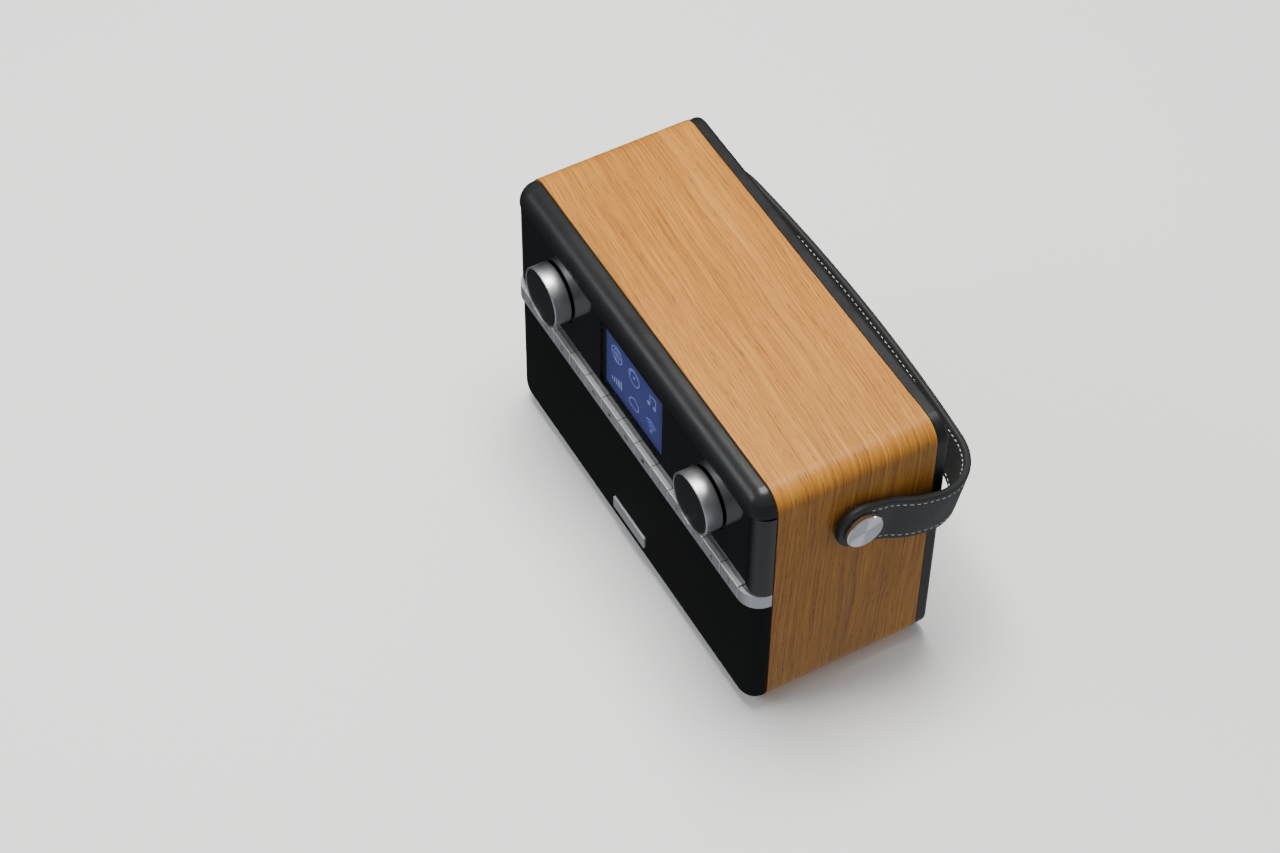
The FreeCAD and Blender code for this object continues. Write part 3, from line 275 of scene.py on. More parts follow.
def oak_veneer():
    """Lacquered oak whose grain runs along the top and on down both sides."""
    f = Finish("oak_veneer", Coat_Weight=0.04, Coat_Roughness=0.3, Specular_IOR_Level=0.22)
    place = f.place()
    x, y, z = f.split(place)
    flat_x = WOOD_HIGH.x - WOOD_CORNER
    flat_z = WOOD_HIGH.z - WOOD_CORNER
    aside = f.math("ABSOLUTE", x)
    over = f.math("MAXIMUM", f.math("SUBTRACT", aside, flat_x), 0.0)
    above = f.math("MAXIMUM", f.math("SUBTRACT", z, flat_z), 0.001)
    turn = f.math("MULTIPLY", f.math("ARCTAN2", over, above), WOOD_CORNER)
    down = f.math("MAXIMUM", f.math("SUBTRACT", flat_z, z), 0.0)
    run = f.math("ADD", f.math("ADD", f.math("MINIMUM", aside, flat_x), turn), down)
    along = f.math("MULTIPLY", run, f.math("SIGN", x))
    drift = f.combine(f.math("MULTIPLY", along, 0.008), f.math("MULTIPLY", y, 0.016), 5.0)
    sway = f.noise(drift, 1.0, 2.0)
    across = f.math("ADD", f.math("MULTIPLY_ADD", along, 0.05, y), f.math("MULTIPLY", sway, 9.0))

    def streaks(stretch, width, seed, detail):
        """Grain: `stretch` and `width` give how fast it changes along and across the wood."""
        vector = f.combine(f.math("MULTIPLY", along, stretch), f.math("MULTIPLY", across, width), seed)
        return f.noise(vector, 1.0, detail, 0.6)

    bands = streaks(0.005, 0.09, 1.0, 3.0)
    figure = streaks(0.012, 0.85, 7.0, 5.0)
    fibre = streaks(0.045, 2.0, 13.0, 3.0)
    pores = streaks(0.13, 1.9, 19.0, 1.0)
    tone = f.math("MULTIPLY_ADD", bands, 0.26, f.math("MULTIPLY", fibre, 0.24))
    tone = f.math("MULTIPLY_ADD", figure, 0.5, tone)
    wood = f.ramp(tone, (0.37, (0.245, 0.092, 0.014)), (0.46, (0.380, 0.149, 0.021)),
                  (0.54, (0.480, 0.198, 0.029)), (0.63, (0.580, 0.256, 0.043)))
    early = f.remap(figure, 0.60, 0.44)
    pits = f.math("MULTIPLY", f.remap(pores, 0.58, 0.68), early)
    wood = f.mix(f.math("MULTIPLY", pits, 0.7), wood, (0.15, 0.055, 0.010))
    wood = f.mix(f.remap(fibre, 0.35, 0.6, 0.26, 0.0), wood, (0.26, 0.10, 0.015))
    end = f.remap(f.math("ABSOLUTE", f.facing()[1]), 0.6, 0.8)
    plies = f.noise(f.combine(f.math("MULTIPLY", x, 0.9), f.math("MULTIPLY", z, 0.9)), 1.0, 2.0)
    edge = f.ramp(plies, (0.35, (0.36, 0.18, 0.06)), (0.65, (0.50, 0.28, 0.11)))
    f.drive(Base_Color=f.mix(end, wood, edge),
            Roughness=f.math("MULTIPLY_ADD", pits, 0.2, f.remap(bands, 0.3, 0.7, 0.36, 0.46)),
            Normal=f.bump(f.math("SUBTRACT", f.math("MULTIPLY", fibre, 0.25), pits), 0.035))
    return f.material


def piano_black():
    """Polished black with the faint haze and hair marks of handling."""
    f = Finish("piano_black", Coat_Weight=0.15, Coat_Roughness=0.03)
    place = f.place()
    haze = f.noise(place, 0.045, 4.0, 0.6)
    hair = f.noise(f.stretched(place, (0.08, 0.5, 2.2)), 1.0, 3.0, 0.65, 0.4)
    f.drive(Base_Color=f.mix(haze, (0.0025, 0.0026, 0.0029), (0.0045, 0.0047, 0.0052)),
            Roughness=f.math("MULTIPLY_ADD", f.remap(hair, 0.55, 0.75), 0.05,
                             f.remap(haze, 0.35, 0.7, 0.07, 0.12)),
            Normal=f.bump(haze, 0.02))
    return f.material


YARN_PITCH = 0.9


def grille_cloth():
    """Fine black cloth: yarns over and under each other, a little uneven."""
    f = Finish("grille_cloth", Specular_IOR_Level=0.2)
    x, y, z = f.split(f.place())
    lean = f.math("ABSOLUTE", f.facing()[2])
    u = f.math("SUBTRACT", x, y)
    v = f.math("MULTIPLY_ADD", y, lean, z)
    pitch = 2 * math.pi / YARN_PITCH
    wander = f.noise(f.combine(u, v), 0.35, 2.0)
    warp = f.math("SINE", f.math("MULTIPLY_ADD", wander, 1.4, f.math("MULTIPLY", u, pitch)))
    weft = f.math("SINE", f.math("MULTIPLY_ADD", wander, 1.4, f.math("MULTIPLY", v, pitch)))
    weave = f.math("MULTIPLY", warp, weft)
    slub = f.noise(f.combine(f.math("MULTIPLY", u, 0.12), f.math("MULTIPLY", v, 1.1)), 1.0, 3.0)
    # partly painted shade: the weave's dips are painted darker, as shade between the yarns; the slub's
    # changes are the cloth's own unevenness
    tone = f.math("MULTIPLY_ADD", weave, 0.28, f.math("MULTIPLY_ADD", slub, 0.5, 0.25))
    f.drive(Base_Color=f.ramp(tone, (0.15, (0.0022, 0.0022, 0.0023)), (0.85, (0.0105, 0.0106, 0.0110))),
            Roughness=f.remap(slub, 0.3, 0.7, 0.8, 0.92),
            Normal=f.bump(f.math("ADD", weave, f.math("MULTIPLY", slub, 0.6)), 0.11))
    return f.material


def brushed(name, colour, roughness, lines, **constants):
    """Metal with fine parallel lines; `lines` gives how fast they change along each axis."""
    f = Finish(name, **constants)
    hair = f.noise(f.stretched(f.place(), lines), 1.0, 4.0, 0.65)
    cloud = f.noise(f.place(), 0.09, 3.0)
    f.drive(Base_Color=f.mix(f.remap(hair, 0.3, 0.7), scaled(colour, 0.88), colour),
            Roughness=f.uneven(hair, 0.1, cloud, roughness),
            Normal=f.bump(hair, 0.006))
    return f.material


def turned_metal(name, colour, roughness, middle, axis):
    """Metal finished on a lathe: rings round an axis through `middle`, and fine rings along it."""
    f = Finish(name, Metallic=1.0, Anisotropic=0.55)
    place = f.place()
    parts = dict(zip("XYZ", f.split(f.from_middle(place, middle))))
    depth = parts.pop(axis)
    radius = f.length(*parts.values())
    rings = f.combine(f.math("MULTIPLY", radius, 9.0), f.math("MULTIPLY", depth, 9.0))
    rings = f.noise(rings, 1.0, 3.0, 0.7)
    cloud = f.noise(place, 0.12, 3.0)
    f.drive(Base_Color=f.mix(f.remap(rings, 0.3, 0.7), scaled(colour, 0.86), colour),
            Roughness=f.uneven(rings, 0.1, cloud, roughness),
            Normal=f.bump(rings, 0.006),
            Tangent=f.tangent(axis))
    return f.material


def spun_cap(side, middle):
    """A stud's cap: a polished rim round a face spun in fine circles, with a painted highlight of two
    bright fans in the face's colour.
    """
    f = Finish(f"spun_aluminium_{side}", Metallic=1.0, Anisotropic=0.8)
    place = f.place()
    _, y, z = f.split(f.from_middle(place, middle))
    radius = f.length(y, z)
    face = f.remap(f.math("ABSOLUTE", f.facing()[0]), 0.93, 0.98)
    circles = f.noise(f.combine(f.math("MULTIPLY", radius, 7.0), 3.0), 1.0, 3.0, 0.7)
    smudge = f.noise(place, 0.25, 3.0)
    # painted highlight: two bright fans painted into the face's colour, standing in for the glint a
    # spun face catches from the light
    painted_glint_fans = f.math("COSINE", f.math("MULTIPLY_ADD", f.math("ARCTAN2", z, y), 2.0, -1.74))
    spun = f.mix(f.remap(painted_glint_fans, 0.0, 1.0), (0.56, 0.57, 0.59), (1.0, 1.0, 1.0))
    spun = f.mix(f.math("MULTIPLY", circles, 0.4), spun, (0.62, 0.63, 0.65))
    f.drive(Base_Color=f.mix(face, (0.78, 0.79, 0.8), spun),
            Roughness=f.math("MULTIPLY_ADD", face, f.math("MULTIPLY_ADD", circles, 0.12, 0.2),
                             f.remap(smudge, 0.4, 0.7, 0.05, 0.09)),
            Normal=f.bump(f.math("MULTIPLY", circles, face), 0.008),
            Tangent=f.tangent("X"))
    return f.material


def leather():
    """Black hide: small pebbles, soft creases, and a smoother painted edge."""
    f = Finish("black_leather", Specular_IOR_Level=0.35)
    place = f.place()
    wobble = f.add("ShaderNodeTexNoise", {"Vector": place, "Scale": 0.8, "Detail": 2.0})
    warped = f.add("ShaderNodeVectorMath", {0: place, 1: wobble.outputs["Color"]},
                   operation="ADD").outputs[0]
    pebble = f.cells(warped, 1.25, "SMOOTH_F1", 0.35)
    crease = f.cells(warped, 0.42, "DISTANCE_TO_EDGE")
    broad = f.noise(place, 0.07, 4.0, 0.6)
    edge = f.add("ShaderNodeAttribute", attribute_name="edge").outputs["Fac"]
    hide = f.mix(broad, (0.0450, 0.0448, 0.0456), (0.0570, 0.0567, 0.0577))
    # painted shade: the hide is darker between the pebbles, where the relief sinks
    hide = f.mix(f.remap(pebble, 0.35, 0.75, 0.0, 0.45), hide, (0.0330, 0.0329, 0.0335))
    relief = f.math("SUBTRACT", f.remap(crease, 0.0, 0.12, 0.0, 0.5), pebble)
    smooth = f.math("SUBTRACT", 1.0, f.math("MULTIPLY", edge, 0.8))
    f.drive(Base_Color=f.mix(edge, hide, (0.0160, 0.0163, 0.0170)),
            Roughness=f.math("MULTIPLY_ADD", edge, 0.08, f.remap(broad, 0.35, 0.7, 0.44, 0.54)),
            Normal=f.bump(f.math("MULTIPLY", relief, smooth), 0.07, 0.8))
    return f.material


def thread():
    """Waxed off-white thread with its twist."""
    f = Finish("thread", Sheen_Weight=0.15)
    x, y, z = f.split(f.place())
    twist = f.math("SINE", f.math("MULTIPLY", f.math("ADD", f.math("ADD", x, y), z), 14.0))
    fuzz = f.noise(f.place(), 6.0, 2.0)
    # painted shade: the colour darkens in the twist's grooves, where the bump also sinks
    f.drive(Base_Color=f.mix(f.remap(twist, -1.0, 0.6), (0.50, 0.50, 0.49), (0.84, 0.84, 0.82)),
            Roughness=f.remap(fuzz, 0.3, 0.7, 0.62, 0.8), Normal=f.bump(twist, 0.05))
    return f.material


def blue_screen():
    """A lit liquid-crystal panel: fine pixels, a little brighter towards its middle."""
    f = Finish("blue_screen", Specular_IOR_Level=0.3, Emission_Strength=0.30)
    low, high = span("lcd_screen")
    x, _, z = f.split(f.place())
    u = f.math("ABSOLUTE", f.math("DIVIDE", x, high.x))
    height = f.math("SUBTRACT", z, (low.z + high.z) / 2)
    v = f.math("ABSOLUTE", f.math("DIVIDE", height, (high.z - low.z) / 2))
    corner = f.math("MULTIPLY", f.math("POWER", f.math("MAXIMUM", u, v), 4.0), 0.5)
    pixels = f.math("MULTIPLY", f.math("SINE", f.math("MULTIPLY", x, 22.0)),
                    f.math("SINE", f.math("MULTIPLY", z, 22.0)))
    cloud = f.noise(f.place(), 0.05, 2.0)
    tone = f.math("MULTIPLY_ADD", pixels, 0.05, f.math("MULTIPLY_ADD", cloud, 0.3, 0.55))
    glow = f.ramp(f.math("SUBTRACT", tone, corner),
                  (0.1, (0.052, 0.056, 0.185)), (0.8, (0.082, 0.086, 0.275)))
    f.drive(Base_Color=glow, Emission_Color=glow, Roughness=f.remap(cloud, 0.3, 0.7, 0.3, 0.36))
    return f.material


def icon_light():
    """The paler blue of the icons."""
    f = Finish("icon_light", Emission_Strength=0.55)
    shade = f.ramp(f.noise(f.place(), 0.3, 2.0), (0.3, (0.20, 0.23, 0.52)), (0.7, (0.30, 0.34, 0.68)))
    f.drive(Base_Color=shade, Emission_Color=shade,
            Roughness=f.remap(f.noise(f.place(), 2.0), 0.3, 0.7, 0.4, 0.5))
    return f.material


def window_glass():
    """A clear window: what is behind it shows through, under a mirror that grows at a slant."""
    f = Finish("window_glass")
    smear = f.noise(f.place(), 0.07, 4.0, 0.65, 0.5)
    tint = f.mix(smear, (0.90, 0.93, 0.96), (0.95, 0.97, 0.98))
    clear = f.add("ShaderNodeBsdfTransparent", {"Color": tint})
    mirror = f.add("ShaderNodeBsdfGlossy", {"Roughness": f.remap(smear, 0.4, 0.7, 0.02, 0.07)})
    slant = f.math("POWER", f.add("ShaderNodeLayerWeight").outputs["Facing"], 5.0)
    share = f.math("MULTIPLY_ADD", slant, 0.35, 0.015)
    pane = f.add("ShaderNodeMixShader", {0: share, 1: clear.outputs[0], 2: mirror.outputs[0]})
    f.tree.links.new(pane.outputs[0], f.tree.nodes["Material Output"].inputs["Surface"])
    return f.material


def printed(name, colour):
    """A thin printed mark with slightly uneven ink."""
    f = Finish(name)
    ink = f.noise(f.place(), 4.0, 3.0)
    f.drive(Base_Color=f.mix(ink, scaled(colour, 0.8), scaled(colour, 1.15)),
            Roughness=f.remap(ink, 0.3, 0.7, 0.45, 0.6), Normal=f.bump(ink, 0.01))
    return f.material


def circuit_board():
    """Green board with paler tracks."""
    f = Finish("board_green", Coat_Weight=0.3, Coat_Roughness=0.2)
    x, _, z = f.split(f.place())
    tracks = f.cells(f.combine(f.math("MULTIPLY", x, 0.35), f.math("MULTIPLY", z, 0.35)), 1.0)
    f.drive(Base_Color=f.ramp(tracks, (0.2, (0.03, 0.17, 0.06)), (0.34, (0.008, 0.07, 0.025))),
            Roughness=f.remap(tracks, 0.1, 0.6, 0.35, 0.5), Normal=f.bump(tracks, 0.05))
    return f.material


# ------------------------------------------------------------------ meshes

def shown(name, points, faces, material, body, smooth=True):
    """A piece of the model from points in millimetres."""
    mesh = bpy.data.meshes.new(name)
    mesh.from_pydata([Vector(point) * MM for point in points], [], faces)
    mesh.validate()
    mesh.polygons.foreach_set("use_smooth", [smooth] * len(mesh.polygons))
    mesh.materials.append(material)
    piece = bpy.data.objects.new(name, mesh)
    bpy.context.scene.collection.objects.link(piece)
    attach(piece, body)
    return piece


def coat(node, material):
    """Gives a CAD node its finish."""
    slots = nodes[node].material_slots
    for slot in slots:
        slot.link = "OBJECT"
        slot.material = material


ROUND_STEPS = 5


def rectangle(left, right, low, high):
    return [(left, low), (right, low), (right, high), (left, high)]


class Strokes:
    """Flat raised lines drawn on an upright face: (x, z) in millimetres, toward -Y."""

    def __init__(self, front, thickness):
        self.front = front
        self.thickness = thickness
        self.points = []
        self.faces = []

    def slab(self, corners):
        """A raised flat shape inside the corners, which go round anticlockwise seen from the front."""
        first = len(self.points)
        count = len(corners)
        for y in (self.front, self.front + self.thickness):
            self.points += [(x, y, z) for x, z in corners]
        self.faces.append([first + index for index in range(count)])
        self.faces.append([first + count + index for index in reversed(range(count))])
        for index in range(count):
            after = (index + 1) % count
            self.faces.append([first + index, first + count + index,
                               first + count + after, first + after])

    def line(self, corners, width, closed=False):
        """Runs of one width with round joints between the corners."""
        ends = list(zip(corners, corners[1:] + ([corners[0]] if closed else [])))
        if not closed:
            ends = ends[:len(corners) - 1]
        half = width / 2
        for start, end in ends:
            heading = math.atan2(end[1] - start[1], end[0] - start[0])
            shape = []
            for middle, base in ((end, heading - math.pi / 2), (start, heading + math.pi / 2)):
                turns = [base + math.pi * step / ROUND_STEPS for step in range(ROUND_STEPS + 1)]
                shape += [(middle[0] + half * math.cos(turn), middle[1] + half * math.sin(turn))
                          for turn in turns]
            self.slab(shape)

    def arc(self, middle, radii, width, start=0, end=360, steps=28):
        radii = radii if isinstance(radii, tuple) else (radii, radii)
        turns = [math.radians(start + (end - start) * step / steps) for step in range(steps + 1)]
        self.line([(middle[0] + radii[0] * math.cos(turn), middle[1] + radii[1] * math.sin(turn))
                   for turn in turns], width)

    def disc(self, middle, radius, squash=1.0, steps=20):
        turns = [2 * math.pi * step / steps for step in range(steps)]
        self.slab([(middle[0] + radius * math.cos(turn), middle[1] + radius * squash * math.sin(turn))
                   for turn in turns])


# ------------------------------------------------------------------ display

ICON_LINE = 0.55
IMAGE_HALF = (27.2, 19.6)
IMAGE_MIDDLE = 121.0
BORDER_GAP, ICON_GAP, PICTURE_GAP = 0.02, 0.04, 0.08
ICON_RADIUS = 5.0


def make_display(glass, black, lit):
    """The picture, its icons and the printed border, in layers on the window's rear face."""
    window_low, window_high = span("display_window")
    rear = window_high.y
    middle_z = IMAGE_MIDDLE
    half_x, half_z = IMAGE_HALF
    column = half_x * 0.62
    row = half_z * 0.47
    icons = Strokes(rear + ICON_GAP, 0.03)
    width = ICON_LINE
    # a globe
    x, z = -column, middle_z + row
    size = ICON_RADIUS
    icons.arc((x, z), size, width)
    icons.arc((x, z), (2.2, size), width * 0.8)
    icons.line([(x - size, z), (x + size, z)], width * 0.8)
    icons.line([(x, z - size), (x, z + size)], width * 0.8)
    # a disc
    x = 0.0
    icons.arc((x, z), size, width)
    icons.arc((x, z), 4.0, width, 20, 200)
    icons.disc((x, z), 0.9)
    # a pair of notes
    x = column
    icons.disc((x - 2.6, z - 3.2), 1.5, 0.8)
    icons.disc((x + 2.8, z - 2.4), 1.5, 0.8)
    icons.line([(x - 1.4, z - 3.1), (x - 1.4, z + 3.6), (x + 4.0, z + 4.4), (x + 4.0, z - 2.3)],
               width)
    # rising bars
    x, z = -column, middle_z - row
    for index in range(5):
        place = x - 4.4 + index * 2.2
        icons.line([(place, z - 3), (place, z - 1.6 + index)], 1.1)
    # a soft outline
    x = 0.0
    icons.line([(x - 3.6, z - 3.4), (x - 4.6, z - 1.2), (x - 2.4, z + 2.2), (x + 1.0, z + 3.6),
                (x + 4.2, z + 1.6), (x + 4.8, z - 1.6), (x + 2.8, z - 3.4)], width, closed=True)
    # waves from a point
    x = column
    icons.disc((x, z - 3.2), 1.0)
    for radius in (3.0, 5.0, 7.0):
        icons.arc((x, z - 3.2), radius, width, 50, 130, 12)
    shown("display_icons", icons.points, icons.faces, icon_light(), "cabinet", False)

    inner = rectangle(-half_x, half_x, middle_z - half_z, middle_z + half_z)
    picture = Strokes(rear + PICTURE_GAP, 0.05)
    picture.slab(inner)
    shown("display_picture", picture.points, picture.faces, lit, "cabinet", False)

    # the border printed round it
    outer = rectangle(window_low.x, window_high.x, window_low.z, window_high.z)
    border = Strokes(rear + BORDER_GAP, 0.05)
    for index in range(4):
        after = (index + 1) % 4
        border.slab([outer[index], outer[after], inner[after], inner[index]])
    shown("display_border", border.points, border.faces, black, "cabinet", False)
    coat("display_window", glass)


# ------------------------------------------------------------------ marks on the keys

KEYS = [f"key_{number:02d}" for number in range(1, 14)]
MARK_LINE = 0.34
FIRST_DIGIT = 8
DIGITS = [
    [(-0.7, 1.0), (0.0, 1.6), (0.0, -1.6)],
    [(-0.9, 1.1), (-0.3, 1.6), (0.5, 1.5), (0.9, 0.9), (0.6, 0.1), (-0.9, -1.6), (0.9, -1.6)],
    [(-0.8, 1.5), (0.8, 1.5), (0.0, 0.3), (0.8, -0.3), (0.8, -1.2), (0.0, -1.6), (-0.9, -1.3)],
    [(0.5, -1.6), (0.5, 1.6), (-1.0, -0.7), (1.0, -0.7)],
    [(0.8, 1.6), (-0.7, 1.6), (-0.8, 0.3), (0.3, 0.4), (0.9, -0.4), (0.5, -1.4), (-0.8, -1.5)],
]


def key_marks(marks, x, z, index):
    """A small plain mark in the middle of a key's front: eight signs, then the numbers 1 to 5."""
    thin = MARK_LINE
    if index == 0:
        marks.arc((x, z), 1.5, thin, 120, 420, 20)
        marks.line([(x, z + 0.4), (x, z + 1.9)], thin)
    elif index in (1, 2):
        for level in (-1.0, 0.0, 1.0)[:index + 1]:
            marks.line([(x - 1.5, z + level), (x + 1.5, z + level)], thin)
    elif index == 3:
        marks.line(rectangle(x - 1.6, x + 1.6, z - 1.2, z + 1.2), thin, True)
    elif index in (4, 6):
        way = 1 if index == 6 else -1
        for shift in (-0.9, 0.9):
            left, right = x + shift - 0.8 * way, x + shift + 0.8 * way
            marks.slab([(left, z - 1.2), (right, z), (left, z + 1.2)][::way])
    elif index == 5:
        marks.slab([(x - 1.1, z - 1.4), (x + 1.4, z), (x - 1.1, z + 1.4)])
    elif index == 7:
        marks.slab(rectangle(x - 1.2, x + 1.2, z - 1.2, z + 1.2))
    else:
        marks.line([(x + dx, z + dz) for dx, dz in DIGITS[index - FIRST_DIGIT]], thin)


def make_key_marks(ink):
    for index, name in enumerate(KEYS):
        low, high = span(name)
        marks = Strokes(low.y - 0.03, 0.06)
        key_marks(marks, (low.x + high.x) / 2, (low.z + high.z) / 2, index)
        shown(f"{name}_mark", marks.points, marks.faces, ink, name, False)


# ------------------------------------------------------------------ leather handle

STRAP_WIDTH = 26.0
STRAP_THICKNESS = 4.0
STRAP_DROP = 15.0
STRAP_SLACK = 0.3
STRAP_SHARE = 0.7
STRAP_CORNER = 34.0
STRAP_SLANT = 6.0
BOW_ANGLE = 18.0
BOW_NEAR = 30.0
BOW_FAR = 42.0
STRAP_EDGE = 1.5
STRAP_CROWN = 0.12
STRAP_STEP = 1.4
TIP_EDGE = 2.5
STITCH_ROW = 10.0
STITCH_PITCH = 3.5
STITCH_LENGTH = 2.5
STITCH_RADIUS = 0.27
STITCH_SEED = 7
GROOVE_DEPTH = 0.16
GROOVE_HALF = 0.7
EYELET_RADIUS = 5.5


class Handle:
    """The strap's centre line in its own plane: x across the radio, reach away from the studs."""

    def __init__(self):
        low, high = span("studs")
        self.middle = Vector((0, (low.y + high.y) / 2, (low.z + high.z) / 2))
        drop = math.radians(STRAP_DROP)
        rear = span("handle_strap")[1].y - self.middle.y
        self.reach = (rear - STRAP_WIDTH / 2 * math.sin(drop)) / math.cos(drop)
        self.turn = Matrix.Rotation(-drop, 3, "X")
        side = span("stud_spacers")[1].x + STRAP_SLACK + STRAP_THICKNESS / 2
        bow, slant, around = map(math.radians, (BOW_ANGLE, STRAP_SLANT, 90 - STRAP_SLANT))
        swell = BOW_NEAR + BOW_FAR
        across = side + swell * (1 - math.cos(bow)) - STRAP_CORNER * (1 - math.cos(around))
        back = across / math.sin(slant)
        curved = swell * math.sin(bow) + STRAP_CORNER * math.sin(around)
        curved += back * (1 - math.cos(slant))
        straight = self.reach - STRAP_THICKNESS / 2 - curved
        self.tail = STRAP_WIDTH / 2
        self.start = Vector((side, -self.tail))
        # each run is a length with no turn, or a radius with its turn in degrees
        self.runs = [(self.tail + straight * STRAP_SHARE, 0.0),
                     (BOW_NEAR, -BOW_ANGLE), (BOW_FAR, BOW_ANGLE),
                     (straight * (1 - STRAP_SHARE), 0.0),
                     (STRAP_CORNER, 90 - STRAP_SLANT), (back, STRAP_SLANT)]
        self.length = sum(map(self.run_length, self.runs))

    @staticmethod
    def run_length(run):
        size, turn = run
        return size if turn == 0 else size * math.radians(abs(turn))

    def at(self, distance):
        """Point and outward direction this far along the right half from the strap's end."""
        point = self.start.copy()
        heading = math.pi / 2
        for size, turn in self.runs:
            step = min(distance, self.run_length((size, turn)))
            if turn == 0:
                point = point + Vector((math.cos(heading), math.sin(heading))) * step
            else:
                sign = math.copysign(1, turn)
                outward = Vector((math.sin(heading), -math.cos(heading)))
                centre = point - outward * size * sign
                heading += sign * step / size
                point = centre + Vector((math.sin(heading), -math.cos(heading))) * size * sign
            distance -= step
            if distance <= 0:
                break
        return point, Vector((math.sin(heading), -math.cos(heading)))

    def whole(self, distance):
        """The same for the whole strap, from its right end round to its left."""
        if distance <= self.length:
            return self.at(distance)
        point, outward = self.at(2 * self.length - distance)
        return Vector((-point.x, point.y)), Vector((-outward.x, outward.y))

    def place(self, distance, across, out):
        """A frame point: along the strap, across its width (+ is up) and out from its centre line."""
        point, outward = self.whole(distance)
        point = point + outward * out
        return self.middle + self.turn @ Vector((point.x, point.y, across))


def band_section(half_width, half_thickness):
    """Round the strap's section: (across, out, how much it is edge)."""
    rounding = min(STRAP_EDGE, half_width * 0.95, half_thickness * 0.95)
    flat = half_width - rounding
    face = []
    for step in range(-14, 15):
        across = flat * step / 14
        near_row = (abs(across) - STITCH_ROW) / GROOVE_HALF
        groove = GROOVE_DEPTH * math.exp(-near_row * near_row)
        crown = STRAP_CROWN * (1 - (across / half_width) ** 2) - STRAP_CROWN
        face.append((across, half_thickness + crown - groove, 0.0))
    corner = []
    for step in range(1, 6):
        turn = math.radians(90 - 15 * step)
        out = half_thickness - rounding + (rounding - STRAP_CROWN) * math.sin(turn)
        corner.append((flat + rounding * math.cos(turn), out, min(1.0, step / 2)))
    waist = [(half_width, 0.25, 1.0), (half_width - 0.05, 0.0, 1.0)]
    upper = face + corner + waist
    lower = [(across, -out, edge) for across, out, edge in reversed(upper[:-1])]
    right = upper + lower
    # `right` runs from the outer face's left corner, round the right edge, to the inner face's
    # left corner
    left = [(-across, out, edge) for across, out, edge in reversed(corner + waist)]
    left_low = [(-across, -out, edge) for across, out, edge in (corner + waist[:-1])]
    return right + left_low + left


def make_strap(handle, hide):
    tail = handle.tail
    total = 2 * handle.length
    angles = (4, 9, 15, 22, 30, 39, 48, 58, 68, 79, 90)
    tip = [tail * (1 - math.cos(math.radians(angle))) for angle in angles]
    body = []
    place = tail
    while place < total - tail - STRAP_STEP:
        place += STRAP_STEP
        body.append(place)
    stations = tip + body + [total - distance for distance in reversed(tip)]
    points, faces, edge_values = [], [], []
    for distance in stations:
        inside = min(distance, total - distance)
        half = tail if inside >= tail else math.sqrt(max(0.01, tail * tail - (tail - inside) ** 2))
        thin = min(1.0, 0.55 + half / 9)
        for across, out, edge in band_section(half, STRAP_THICKNESS / 2 * thin):
            points.append(handle.place(distance, across, out))
            edge_values.append(max(edge, 1 - inside / TIP_EDGE))
    ring = len(points) // len(stations)
    for station in range(len(stations) - 1):
        for index in range(ring):
            after = (index + 1) % ring
            first = station * ring
            faces.append([first + index, first + after,
                          first + ring + after, first + ring + index])
    faces.append(list(range(ring))[::-1])
    faces.append([len(points) - ring + index for index in range(ring)])
    strap = shown("handle_strap_leather", points, faces, hide, "handle")
    mask = strap.data.attributes.new("edge", "FLOAT", "POINT")
    mask.data.foreach_set("value", edge_values)
    bore_eyelets(handle, strap)
    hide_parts("handle_strap")


def bore_eyelets(handle, strap):
    """Cuts the two holes that the eyelets line."""
    cutters = []
    for side in (-1, 1):
        mesh = bpy.data.meshes.new("eyelet_cutter")
        shape = bmesh.new()
        bmesh.ops.create_cone(shape, cap_ends=True, segments=64, radius1=EYELET_RADIUS * MM,
                              radius2=EYELET_RADIUS * MM, depth=20 * MM)
        turn = Matrix.Rotation(math.pi / 2, 4, "Y")
        centre = Vector((side * handle.start.x, handle.middle.y, handle.middle.z)) * MM
        bmesh.ops.transform(shape, matrix=Matrix.Translation(centre) @ turn, verts=shape.verts)
        shape.to_mesh(mesh)
        shape.free()
        cutter = bpy.data.objects.new("eyelet_cutter", mesh)
        bpy.context.scene.collection.objects.link(cutter)
        cutters.append(cutter)
        hole = strap.modifiers.new("hole", "BOOLEAN")
        hole.operation = "DIFFERENCE"
        hole.solver = "EXACT"
        hole.object = cutter
    bpy.context.view_layer.update()
    evaluated = strap.evaluated_get(bpy.context.evaluated_depsgraph_get())
    bored = bpy.data.meshes.new_from_object(evaluated)
    strap.modifiers.clear()
    strap.data = bored
    for cutter in cutters:
        bpy.data.objects.remove(cutter)


